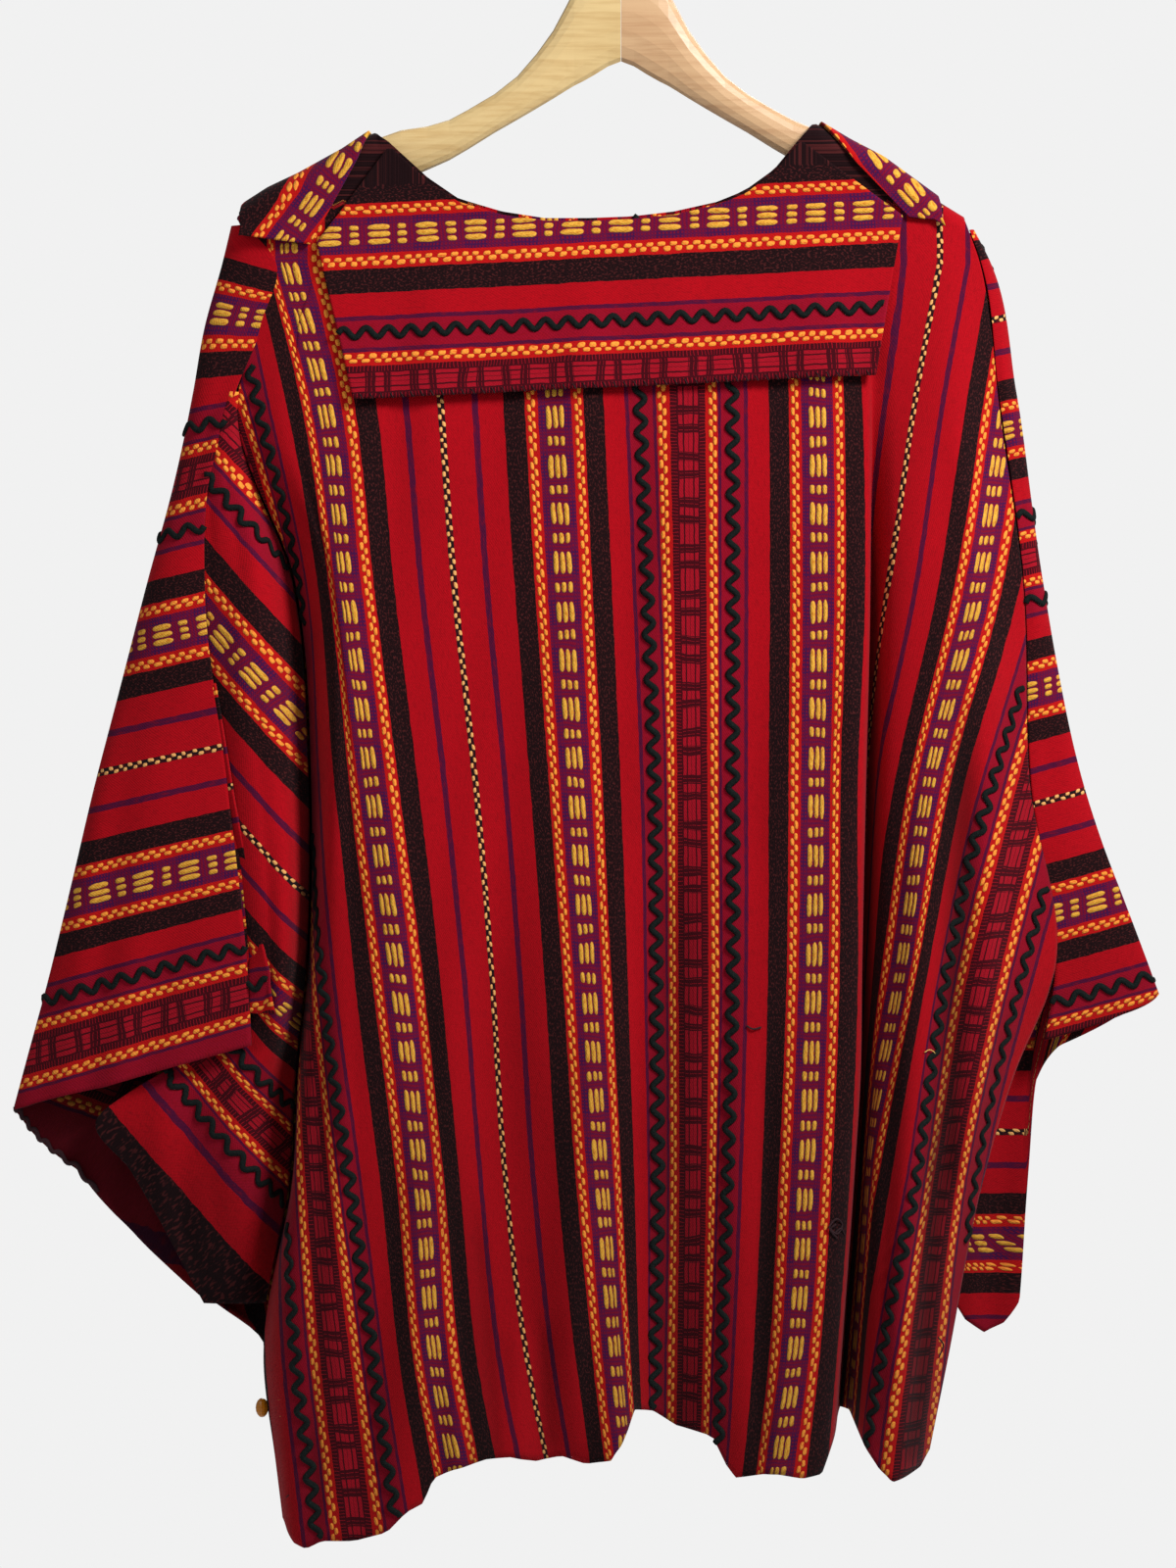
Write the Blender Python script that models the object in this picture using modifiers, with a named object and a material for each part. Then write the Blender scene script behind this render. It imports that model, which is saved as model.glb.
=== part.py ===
"""A striped wool poncho with wide sleeves, hanging on a wooden hanger and seen from its back.

Metres, +Z up. The origin is where the hanger's hook rests on its rail. The garment's back faces -Y.
Tables are in millimetres: "down" is the distance below the hook's seat, "across" is X, and "depth" is how
far a fold stands out from the hanger's plane, towards the back on the back's cloth and towards the front on
the front's. Each panel of cloth is a grid of points between its folds, thickened to a wall.
"""

import math

import bmesh
import bpy
import numpy as np

MM = 0.001
WALL = 2.0  # thickness of the woven wool
SEAM = 0.7  # between the middles of two walls that meet edge to edge
LAP = 0.5  # between a wall and what is laid on it
SHOULDER = 10.0  # radius of the cloth's bend over the hanger
TABLES_START = 235.0  # how far down the tables of folds begin: above it their first values hold
FOLD_GAP = 3.2  # between the middles of the walls that meet at the bottom of the left fold
JOIN = 2.8  # between the middles of the two layers where they are sewn down the sides

COLOURS = {
    "red cloth": (0.42, 0.004, 0.012),
    "dark cloth": (0.05, 0.006, 0.008),
    "crimson cloth": (0.30, 0.003, 0.03),
    "pale wood": (0.68, 0.48, 0.22),
    "pink wood": (0.60, 0.36, 0.18),
    "steel": (0.62, 0.62, 0.64),
    "amber": (0.50, 0.20, 0.01),
}

# The outline over the shoulders and round the back of the neck: across, down.
TOP_EDGE = (
    (-240, 237), (-230, 226), (-216, 217), (-197, 208), (-170, 193), (-152, 181), (-143, 187), (-119, 209),
    (-100, 222), (-73, 230), (-47, 234), (-20, 234), (6, 233), (32, 230), (59, 224), (76, 217), (94, 204),
    (108, 187), (119, 175), (139, 187), (160, 198), (193, 222), (211, 233), (218, 238),
)
NECK_LEFT, NECK_RIGHT = -152, 119  # where the neck crosses the hanger

# The back's hem, uneven where the cloth gathers: across, down.
BACK_LENGTH = 990.0  # down to about its hem
BACK_HEM = (
    (-216, 1030), (-205, 1045), (-198, 1048), (-188, 1043), (-169, 1042), (-150, 1036), (-136, 1023),
    (-126, 1018), (-117, 1003), (-105, 998), (-83, 992), (-68, 991), (-53, 994), (-36, 991), (-22, 995),
    (-7, 992), (0, 983), (4, 974), (8, 963), (19, 965), (33, 974), (55, 979), (64, 995), (71, 1003),
    (87, 1000), (96, 1000), (111, 1003), (122, 1001), (127, 984), (133, 967), (140, 967), (149, 986),
    (157, 998), (166, 1006), (185, 1001), (190, 992),
)

# The back, fold by fold from the left: its edge and rim beside the left fold, two ridges, a hollow, the middle
# ridge and the dip after it, the middle, the right ridge and rim, the right fold, and the right wing.
BACK_PLACES = (0.0, 0.5, 1.2, 2.2, 3.4, 4.6, 5.0, 6.0, 7.2, 7.9, 8.5, 9.1, 10.0, 11.0)
BACK_HEIGHTS = (235, 260, 300, 340, 460, 580, 700, 760, 820, 940, 1000)
BACK_ACROSS = {
    # each row holds one fold, from the shoulder down to the hem
    "edge": (-236, -214, -222, -235, -200, -191, -193, -199, -202, -220, -212),
    "rim_left": (-223, -203, -210, -215, -184, -179, -185, -191, -197, -208, -202),
    "lobe": (-212, -193, -199, -203, -176, -166, -161, -161, -161, -160, -151),
    "ridge_left": (-200, -182, -190, -188, -169, -153, -136, -129, -122, -112, -98),
    "hollow": (-116, -115, -113, -111, -102, -89, -79, -76, -71, -56, -44),
    "ridge_middle": (-46, -44, -43, -41, -35, -28, -20, -17, -12, -2, 2),
    "dip": (-29, -28, -26, -25, -19, -11, -4, 0, 4, 10, 11),
    "middle": (41, 41, 41, 41, 42, 43, 44, 44, 44, 43, 41),
    "ridge_right": (119, 119, 119, 120, 121, 119, 117, 115, 112, 103, 95),
    "rim_right": (143, 144, 145, 148, 149, 146, 144, 143, 139, 130, 125),
    "fold_right": (155, 155, 156, 155, 154, 152, 149, 148, 145, 137, 133),
    "wing_rim": (167, 168, 169, 169, 167, 163, 161, 158, 155, 151, 148),
    "wing": (190, 196, 199, 202, 208, 209, 211, 202, 190, 175, 169),
    "wing_edge": (211, 220, 227, 231, 247, 251, 266, 242, 224, 200, 188),
}
BACK_DEPTH_HEIGHTS = (235, 340, 460, 700, 880, 1000)
BACK_DEPTH = {
    "edge": (10, 12, -4, -9, -10, 4),
    "rim_left": (10, 18, 23, 28, 31, 34),
    "lobe": (11, 20, 29, 38, 45, 50),
    "ridge_left": (12, 22, 32, 42, 49, 54),
    "hollow": (13, 22, 29, 33, 36, 42),
    "ridge_middle": (13, 23, 31, 41, 49, 54),
    "dip": (13, 23, 30, 37, 36, 32),
    "middle": (13, 23, 30, 36, 35, 34),
    "ridge_right": (13, 23, 33, 44, 52, 58),
    "rim_right": (13, 22, 31, 38, 42, 46),
    "fold_right": (13, 16, 2, -6, -8, -4),
    "wing_rim": (13, 20, 26, 31, 33, 36),
    "wing": (12, 22, 32, 40, 43, 46),
    "wing_edge": (10, 10, 8, 6, 4, 2),
}

# The left wing of the back, from the sleeve's seam to the bottom of the left fold.
WING_PLACES = (0.0, 0.45, 0.8, 1.0)
WING_TOP, WING_BOTTOM = 358, 903
WING_HEIGHTS = (340, 400, 460, 580, 700, 742, 770, 787, 820, 850, 880, 905)
WING_LEFT = (-238, -255, -257, -243, -230, -252, -300, -322, -302, -285, -270, -257)
WING_DEPTH_HEIGHTS = (340, 400, 460, 580, 700, 742, 820, 905)
WING_DEPTH = {
    "seam": (13, 15, 16, 18, 18, 14, 6, -8),
    "crest": (13, 19, 24, 28, 26, 18, 14, -6),
    "rim": (13, 15, 18, 22, 22, 17, 12, -7),
    "fold": (12, 2, -4, -8, -9, -10, -10, -11),
}

# The front, which hangs plainly: its edges, its shallow folds and its hem, all across and down.
FRONT_HEM = ((-212, 985), (-150, 968), (-60, 955), (60, 950), (130, 950), (188, 958))
FRONT_DEPTH_HEIGHTS = (235, 300, 460, 700, 960)
FRONT_DEPTH = (10, 18, 30, 36, 40)  # away from the edges
FRONT_FOLD = (0, 1, 5, 9, 12)  # how far its folds rise and fall
FRONT_FOLDS = 5.5  # waves across it
FRONT_LENGTH = 725  # from where the tables start to about its hem
FRONT_STRAIGHT = {"left": (-256, 0.06), "right": (224, -0.05)}  # its sides' lines: across at 600, slope
UNDERARM = (892, 930)  # where the front's edges pass from the sleeves' seams to the body's sides
SCOOP = 108  # how far the front of the neck drops below the shoulders

# Left sleeve: the seam on the back, the outer edge where the panel is folded, and the seam on the front.
LEFT_TOP, RIGHT_TOP = 238, 241  # where the sleeves start on the shoulders
SLEEVE_HEIGHTS = (235, 260, 300, 340, 400, 460, 580, 700, 760, 820, 905)
LEFT_SEAM = (-236, -214, -222, -238, -255, -257, -243, -230, -227, -224, -220)
LEFT_EDGE = (-239, -245, -256, -263, -276, -292, -323, -352, -368, -384, -406)
LEFT_FRONT = (-236, -222, -229, -238, -248, -255, -262, -262, -260, -256, -259)
LEFT_CUFF = ((0, 742), (0.5, 768), (0.9, 781), (1.0, 783), (1.1, 788), (1.25, 800), (1.5, 821), (1.75, 860),
             (2.0, 902))
# The tuck beside its back seam: its width at each height, and where its inner edge hangs straight: down, across.
TUCK_HEIGHTS = (520, 600, 660, 700, 744)
TUCK_WIDTHS = (4, 7, 12, 16, 19)
TUCK_BOTTOM = 722
TUCK_STRAIGHT = (690, -228.6)
SLEEVE_DEPTH_HEIGHTS = (235, 340, 460, 700, 800)
SLEEVE_DEPTH = (10, 14, 19, 25, 24)  # at the back seam
SLEEVE_FRONT_DEPTH = (10, 13, 15, 16, 14)  # at the front seam

# Right sleeve, whose front half hangs lower behind the wing: across at each height, for each fold.
RIGHT_PLACES = (0.0, 1.0, 1.7, 2.1, 2.6, 3.1, 3.6)
RIGHT_HEIGHTS = (235, 260, 340, 460, 580, 700, 760, 820, 905)
RIGHT_ACROSS = {
    "seam": (212, 221, 232, 248, 252, 267, 257, 250, 240),
    "edge": (214, 227, 243, 260, 284, 327, 349, 371, 402),
    "front_outer": (213, 225, 240, 254, 267, 276, 271, 268, 266),
    "front_fold": (212, 223, 238, 250, 260, 266, 258, 256, 254),
    "end_outer": (212, 221, 236, 246, 254, 260, 253, 249, 247),
    "end": (212, 219, 231, 238, 242, 240, 234, 230, 226),
    "front_seam": (212, 216, 225, 232, 234, 229, 220, 211, 206),
}
RIGHT_CUFF = ((0, 740), (0.5, 724), (1.0, 712), (1.35, 722), (1.7, 744), (2.1, 766), (2.45, 850), (2.6, 902),
              (2.85, 916), (3.1, 922), (3.4, 914), (3.6, 902))
RIGHT_DEPTH_HEIGHTS = (235, 340, 580, 760, 920)
RIGHT_DEPTH = {
    "seam": (9, 8.5, 6.5, 5, 5),
    "edge": (0, 0, 0, 0, 0),
    "front_outer": (-9, -10, -11, -13, -14),
    "front_fold": (-10, -10, -13, -15, -14),
    "end_outer": (-10, -11, -15, -17, -12),
    "end": (-10, -12, -17, -20, -14),
    "front_seam": (-10, -13, -16, -16, -13),
}

# Collar flap: from left to right, its line at the neck, its mitred corners and its lower edge, as across, down.
FLAP_NECK = ((-144, 192), (112, 188))
FLAP_CORNERS = ((-187, 250), (173, 233))
FLAP_LOW = ((-164, 347), (156, 332))
FLAP_SAG = 22  # how far the line between its corners dips below the neck
FLAP_LIFT = 3.5  # how far the flap's loose lower edge stands off
BAND_FRONT_LENGTH = 84  # below the shoulder, on the front
BANDS = {
    # where each band's edges cross the shoulder, and where they end on the back
    "collar_left": {"neck": -153, "outer": -231, "corner": (-191, 251), "outer_corner": (-235, 245)},
    "collar_right": {"neck": 121, "outer": 193, "corner": (177, 234), "outer_corner": (199, 236)},
}

# Wooden hanger: half its outline as across, top, bottom.
ARM_SECTIONS = (
    (0.15, 74, 136), (8, 74.5, 139), (16, 77, 144), (23, 83, 148), (29, 92, 151), (34, 102, 154),
    (42, 117, 159), (52, 131, 165), (64, 145, 172), (78, 156, 180), (94, 165.5, 190), (106, 172, 197),
)
ARM_HALF = 6.2  # half its thickness
ARM_HEIGHTS = (24, 15)  # where the garment starts to cover it, and at its tip
ARM_SEAT = 1.35  # from the middle of the cloth's wall to the wood under it
ARMS = {
    # which way it points, where the garment starts to cover it, its tip, and a section more before the cover
    "hanger_arm_left": {"side": -1, "covered": 158, "tip": 226, "extra": [(119.5, 176, 203), (136, 178.5, 210)]},
    "hanger_arm_right": {"side": 1, "covered": 125, "tip": 202, "extra": []},
}
HOOK_WIRE = 3.8
HOOK_RADIUS = 22.0
BEAD = (4.0, 4.0, 6.0)  # half its size across, deep and down
BEAD_DOWN = 967.0
BEAD_OUT = 4.45  # from the middle of the back's edge to the bead's middle


def clear_scene():
    for thing in list(bpy.data.objects):
        bpy.data.objects.remove(thing, do_unlink=True)


def material(name):
    found = bpy.data.materials.get(name)
    if found:
        return found
    made = bpy.data.materials.new(name)
    made.use_nodes = True
    shader = made.node_tree.nodes["Principled BSDF"]
    shader.inputs["Base Color"].default_value = (*COLOURS[name], 1)
    shader.inputs["Roughness"].default_value = {"steel": 0.25, "amber": 0.2}.get(name, 0.85)
    shader.inputs["Metallic"].default_value = 1.0 if name == "steel" else 0.0
    return made


def smooth(knots, values, at):
    """A smooth curve through the values, read at each place; a row of values for each place, or one for all."""
    knots = np.asarray(knots, float)
    values = np.asarray(values, float)
    at = np.asarray(at, float)
    slopes = np.gradient(values, knots, axis=-1)
    held = np.clip(at, knots[0], knots[-1])
    first = np.clip(np.searchsorted(knots, held, side="right") - 1, 0, len(knots) - 2)

    def read(table, index):
        if table.ndim == 1:
            return table[index]
        return np.take_along_axis(table, index[:, None], 1)[:, 0]

    width = knots[first + 1] - knots[first]
    t = (held - knots[first]) / width
    start, end = read(values, first), read(values, first + 1)
    rise, fall = read(slopes, first) * width, read(slopes, first + 1) * width
    curve = (2 * t**3 - 3 * t**2 + 1) * start + (3 * t**2 - 2 * t**3) * end
    curve += (t**3 - 2 * t**2 + t) * rise + (t**3 - t**2) * fall
    last_slope = read(slopes, np.full(first.shape, len(knots) - 1))
    return curve + last_slope * np.maximum(at - knots[-1], 0)


def lofted(places, heights, table, place, down):
    """A value read between the folds of a table: one row for each fold, one column for each height."""
    place, down = np.broadcast_arrays(np.asarray(place, float), np.asarray(down, float))
    across = np.stack([smooth(heights, row, down.ravel()) for row in table.values()], axis=1)
    return smooth(places, across, place.ravel()).reshape(place.shape)


def from_pairs(pairs, at):
    return np.interp(at, *zip(*pairs))


def eased(value, low, high):
    t = np.clip((value - low) / (high - low), 0, 1)
    return t * t * (3 - 2 * t)


def over_shoulder(across, down, depth):
    """The depth of cloth that bends over the hanger near its top edge, beside the neck."""
    bend = np.maximum(SHOULDER - (down - from_pairs(TOP_EDGE, across)), 0)
    rounded = np.sqrt(np.maximum(SHOULDER**2 - bend**2, 0)) / SHOULDER
    in_neck = eased(across, NECK_LEFT, NECK_LEFT + 5) * (1 - eased(across, NECK_RIGHT - 5, NECK_RIGHT))
    return depth * (in_neck + rounded * (1 - in_neck))


def back_across(place, down):
    return lofted(BACK_PLACES, BACK_HEIGHTS, BACK_ACROSS, place, down)


def back_depth(place, down):
    return lofted(BACK_PLACES, BACK_DEPTH_HEIGHTS, BACK_DEPTH, place, down)


def back_place(across, down):
    """The place between the folds of the back that lies at this distance across."""
    low = np.full(across.shape, BACK_PLACES[0])
    high = np.full(across.shape, BACK_PLACES[-1])
    for _ in range(30):
        middle = (low + high) / 2
        beyond = back_across(middle, down) > across
        high = np.where(beyond, middle, high)
        low = np.where(beyond, low, middle)
    return (low + high) / 2


def front_sides(down):
    """The front's left and right edges: its seams with the sleeves, then the body's sides."""
    seam_left = smooth(SLEEVE_HEIGHTS, LEFT_FRONT, down.ravel()).reshape(down.shape) + SEAM
    seam_right = smooth(RIGHT_HEIGHTS, RIGHT_ACROSS["front_seam"], down.ravel()).reshape(down.shape) - 2 * SEAM
    past = eased(down, *UNDERARM)
    return (
        between(seam_left, back_across(np.zeros(down.shape), down), past),
        between(seam_right, back_across(np.full(down.shape, BACK_PLACES[-1]), down), past),
    )


def front_across(share, down):
    """Distance across at a share of the width: the folds keep straight where the edges turn in."""
    left, right = front_sides(down)
    straight_left, straight_right = (start + slope * (down - 600) for start, slope in FRONT_STRAIGHT.values())
    straight = between(straight_left, straight_right, share)
    hold_left, hold_right = (1 - share) ** 5, share**5
    return straight + (left - straight_left) * hold_left + (right - straight_right) * hold_right


def front_depth(share, down):
    """The front's depth at a share of the way across it, from its left edge."""
    middle = smooth(FRONT_DEPTH_HEIGHTS, FRONT_DEPTH, down.ravel()).reshape(down.shape)
    rise = smooth(FRONT_DEPTH_HEIGHTS, FRONT_FOLD, down.ravel()).reshape(down.shape)
    folds = rise * np.cos(2 * math.pi * (FRONT_FOLDS * share + 0.2))
    inside = np.sqrt(np.clip(1 - np.abs(2 * share - 1) ** 3.0, 0, 1))
    past = eased(down, *UNDERARM)
    seam_left = smooth(SLEEVE_DEPTH_HEIGHTS, SLEEVE_FRONT_DEPTH, down.ravel()).reshape(down.shape)
    seam_right = -smooth(RIGHT_DEPTH_HEIGHTS, RIGHT_DEPTH["front_seam"], down.ravel()).reshape(down.shape)
    side_left = JOIN - back_depth(np.zeros(down.shape), down)
    side_right = JOIN - back_depth(np.full(down.shape, BACK_PLACES[-1]), down)
    edge = np.where(share < 0.5, between(seam_left, side_left, past), between(seam_right, side_right, past))
    return edge + (middle + folds - edge) * inside


def neck_scoop(across):
    """How far the front's neck lies below the back's top edge, round a deep scoop."""
    middle = (NECK_LEFT + NECK_RIGHT) / 2
    half = (NECK_RIGHT - NECK_LEFT) / 2
    inside = np.clip(1 - ((across - middle) / half) ** 2, 0, 1)
    shoulder_line = np.interp(across, (NECK_LEFT, NECK_RIGHT), (181, 175))
    return np.maximum(from_pairs(TOP_EDGE, across), shoulder_line + SCOOP * inside**0.8)


def add_object(name, mesh_or_curve, colour, collection):
    thing = bpy.data.objects.new(name, mesh_or_curve)
    thing.data.materials.append(material(colour))
    collection.objects.link(thing)
    return thing


def cloth(name, points, colour, collection, thickness=WALL):
    """A panel: a grid moved to the points given, rows by columns in millimetres, and thickened to a wall."""
    rows, columns = points.shape[:2]
    mesh = bpy.data.meshes.new(name)
    work = bmesh.new()
    bmesh.ops.create_grid(work, x_segments=columns - 1, y_segments=rows - 1, size=0.5)
    for corner in work.verts:
        column = round((corner.co.x + 0.5) * (columns - 1))
        row = round((corner.co.y + 0.5) * (rows - 1))
        corner.co = points[row, column] * MM
    bmesh.ops.reverse_faces(work, faces=work.faces)
    work.to_mesh(mesh)
    work.free()
    mesh.shade_smooth()
    panel = add_object(name, mesh, colour, collection)
    wall = panel.modifiers.new("wall", "SOLIDIFY")
    wall.thickness = thickness * MM
    wall.offset = 0
    return panel


def stacked(across, depth, down):
    return np.stack(np.broadcast_arrays(across, -depth, -down), axis=-1).astype(float)


BACK_COLUMNS = (
    0, 0.12, 0.28, 0.5, 0.8, 1.2, 1.7, 2.2, 2.5, 2.75, 2.9, 3.0, 3.15, 3.4, 4.0, 4.35, 4.6, 4.8, 5.0, 5.4, 6.0,
    6.6, 6.95, 7.2, 7.6, 7.9, 8.1, 8.3, 8.5, 8.7, 8.9, 9.1, 9.45, 10.0, 10.4, 10.75, 11.0,
)
RIDGE_STEPS = (0.4, 1.5, 3.5, 6.5, 11.0)  # millimetres below the top edge


def hung(top, bottom, count):
    """Heights for each column from its top to its bottom, close together over the shoulder."""
    near = np.array(RIDGE_STEPS)[:, None]
    even = np.linspace(0, 1, count)[1:, None] ** 1.25
    start = top + RIDGE_STEPS[-1]
    return np.concatenate([top + near, start + (bottom - start) * even])


def make_back(collection):
    place = np.array(BACK_COLUMNS, float)[None, :]
    hem_across = back_across(place, BACK_LENGTH)
    hem = from_pairs(BACK_HEM, hem_across)
    top = from_pairs(TOP_EDGE, back_across(place, TABLES_START))
    down = hung(top, hem, 20)
    across = back_across(place, np.maximum(down, TABLES_START))
    depth = over_shoulder(across, down, back_depth(place, np.maximum(down, TABLES_START)))
    cloth("back", stacked(across, depth, down), "red cloth", collection)


def wing_sides(down):
    left = smooth(WING_HEIGHTS, WING_LEFT, down.ravel()).reshape(down.shape) + SEAM
    right = back_across(np.zeros(down.shape), down) - between(2 * SEAM, FOLD_GAP, eased(down, 352, 420))
    return left, right


def wing_depth(share, down):
    return lofted(WING_PLACES, WING_DEPTH_HEIGHTS, WING_DEPTH, share, down)


def make_wing(collection):
    down, share = np.meshgrid(np.linspace(WING_TOP, WING_BOTTOM, 24), np.linspace(0, 1, 9), indexing="ij")
    left, right = wing_sides(down)
    cloth("back_wing_left", stacked(between(left, right, share), wing_depth(share, down), down), "dark cloth",
          collection)


FRONT_SHARES = (
    0, 0.025, 0.06, 0.1, 0.14, 0.17, 0.19, 0.205, 0.2175, 0.2275, 0.24, 0.27, 0.31, 0.35, 0.39, 0.43, 0.47, 0.51,
    0.55, 0.59, 0.63, 0.67, 0.71, 0.745, 0.762, 0.772, 0.78, 0.79, 0.81, 0.84, 0.88, 0.92, 0.96, 1.0,
)


def make_front(collection):
    share = np.array(FRONT_SHARES, float)[None, :]
    level = np.full(share.shape, TABLES_START)
    top = neck_scoop(front_across(share, level))
    hem = from_pairs(FRONT_HEM, front_across(share, level + FRONT_LENGTH))
    down = hung(top, hem, 20)
    share = np.broadcast_to(share, down.shape)
    held = np.maximum(down, TABLES_START)
    across = front_across(share, held)
    depth = over_shoulder(across, down, front_depth(share, held))
    cloth("front", stacked(across, -depth, down), "red cloth", collection)


def folded_edge(inner, edge, turn):
    """Distance across where a sleeve's panel bends round its outer edge: turn is 0 at the edge, 1 at the seam."""
    return edge + (inner - edge) * (0.35 * turn + 0.65 * (1 - np.cos(turn * math.pi / 2)))


def folded_depth(depth, turn):
    return depth * np.sin(turn * math.pi / 2) ** 0.8


def left_sleeve_point(place, down):
    """The left sleeve's panel: 0 at the back seam, 1 at the outer fold and 2 at the front seam."""
    seam = smooth(SLEEVE_HEIGHTS, LEFT_SEAM, down.ravel()).reshape(down.shape) - SEAM
    flare = 2.5 * (1 - eased(down, 280, 330))
    edge = smooth(SLEEVE_HEIGHTS, LEFT_EDGE, down.ravel()).reshape(down.shape)
    front = smooth(SLEEVE_HEIGHTS, LEFT_FRONT, down.ravel()).reshape(down.shape) - 2 * SEAM
    turn = np.abs(1 - place)
    across = folded_edge(np.where(place < 1, seam, front) - flare, edge, turn)
    back = smooth(SLEEVE_DEPTH_HEIGHTS, SLEEVE_DEPTH, down.ravel()).reshape(down.shape)
    fore = -smooth(SLEEVE_DEPTH_HEIGHTS, SLEEVE_FRONT_DEPTH, down.ravel()).reshape(down.shape)
    return across, folded_depth(np.where(place < 1, back, fore), turn)


def make_left_sleeve(collection):
    place = np.concatenate([np.linspace(0, 0.8, 7), [0.9, 0.96, 1.0, 1.04, 1.1], np.linspace(1.2, 2, 7)])[None, :]
    bottom = from_pairs(LEFT_CUFF, place)
    down = LEFT_TOP + (bottom - LEFT_TOP) * np.linspace(0, 1, 19)[:, None] ** 1.15
    place = np.broadcast_to(place, down.shape)
    across, depth = left_sleeve_point(place, down)
    cloth("sleeve_left", stacked(across, depth, down), "red cloth", collection)


def raised(points, lift):
    """The grid of points moved out from the cloth that it lies on, away from the hanger's plane."""
    down_the_cloth, along = np.gradient(points, axis=0), np.gradient(points, axis=1)
    out = np.cross(down_the_cloth, along)
    out /= np.linalg.norm(out, axis=-1, keepdims=True)
    return points + out * lift


def make_tuck(collection):
    """The strip beside the back seam, on the wing, widening downwards."""
    share, down = np.meshgrid(np.linspace(0, 1, 4), np.linspace(TUCK_HEIGHTS[0], TUCK_BOTTOM, 14))
    left, right = wing_sides(down)
    start = np.where(down > TUCK_STRAIGHT[0], TUCK_STRAIGHT[1], left + 1.6 * SEAM)
    width = smooth(TUCK_HEIGHTS, TUCK_WIDTHS, down.ravel()).reshape(down.shape)
    across = start + width * share
    on_wing = np.clip((across - left) / (right - left), 0, 1)
    points = stacked(across, wing_depth(on_wing, down), down)
    cloth("sleeve_left_tuck", raised(points, WALL + 3 * LAP), "crimson cloth", collection, 1.6)


def make_right_sleeve(collection):
    place = np.concatenate([np.linspace(0, 0.7, 4), [0.84, 0.94, 1.0, 1.05, 1.12, 1.24], np.linspace(1.4, 3.6, 12)])
    place = place[None, :]
    bottom = from_pairs(RIGHT_CUFF, place)
    down = RIGHT_TOP + (bottom - RIGHT_TOP) * np.linspace(0, 1, 20)[:, None]
    place = np.broadcast_to(place, down.shape)
    flat_down = down.ravel()
    seam, edge, outer = (
        smooth(RIGHT_HEIGHTS, RIGHT_ACROSS[fold], flat_down).reshape(down.shape)
        for fold in ("seam", "edge", "front_outer")
    )
    seam_depth, outer_depth = (
        smooth(RIGHT_DEPTH_HEIGHTS, RIGHT_DEPTH[fold], flat_down).reshape(down.shape)
        for fold in ("seam", "front_outer")
    )
    turn = np.where(place < 1, 1 - place, np.clip((place - 1) / (RIGHT_PLACES[2] - 1), 0, 1))
    near = place < RIGHT_PLACES[2]
    inner = np.where(place < 1, seam + 4 * SEAM, outer)
    across = np.where(near, folded_edge(inner, edge, turn),
                      lofted(RIGHT_PLACES, RIGHT_HEIGHTS, RIGHT_ACROSS, place, down))
    depth = np.where(near, folded_depth(np.where(place < 1, seam_depth, outer_depth), turn),
                     lofted(RIGHT_PLACES, RIGHT_DEPTH_HEIGHTS, RIGHT_DEPTH, place, down))
    cloth("sleeve_right", stacked(across, depth, down), "red cloth", collection)


def between(start, end, share):
    return start + (end - start) * share


def on_back(across, down):
    """The depth of a point on the back, held straight across its deep folds."""
    held = np.maximum(down, TABLES_START)
    level = smooth(BACK_DEPTH_HEIGHTS, BACK_DEPTH["ridge_right"], held.ravel()).reshape(down.shape)
    depth = np.maximum(back_depth(back_place(across, held), held), level)
    return over_shoulder(across, down, depth)


def on_front(across, down):
    """The depth of a point on the front's shoulder."""
    held = np.maximum(down, TABLES_START)
    low, high = np.zeros(across.shape), np.ones(across.shape)
    for _ in range(30):
        middle = (low + high) / 2
        beyond = front_across(middle, held) > across
        high = np.where(beyond, middle, high)
        low = np.where(beyond, low, middle)
    return over_shoulder(across, down, front_depth((low + high) / 2, held))


def make_flap(collection):
    share, fall = np.meshgrid(np.linspace(0, 1, 26), np.linspace(0, 2, 9))
    neck = between(FLAP_NECK[0][0], FLAP_NECK[1][0], share)
    neck_down = np.maximum(from_pairs(TOP_EDGE, neck) + 2.5, between(FLAP_NECK[0][1], FLAP_NECK[1][1], share))
    corner = between(FLAP_CORNERS[0][0], FLAP_CORNERS[1][0], share)
    corner_down = between(FLAP_CORNERS[0][1], FLAP_CORNERS[1][1], share) + FLAP_SAG * np.sin(math.pi * share) ** 0.6
    low = between(FLAP_LOW[0][0], FLAP_LOW[1][0], share)
    low_down = between(FLAP_LOW[0][1], FLAP_LOW[1][1], share)
    upper, lower = np.clip(fall, 0, 1), np.clip(fall - 1, 0, 1)
    across = between(between(neck, corner, upper), low, lower)
    down = between(between(neck_down, corner_down, upper), low_down, lower)
    depth = on_back(across, down) + FLAP_LIFT * lower**2
    cloth("collar_flap", raised(stacked(across, depth, down), WALL + 2 * LAP), "crimson cloth", collection)


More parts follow.
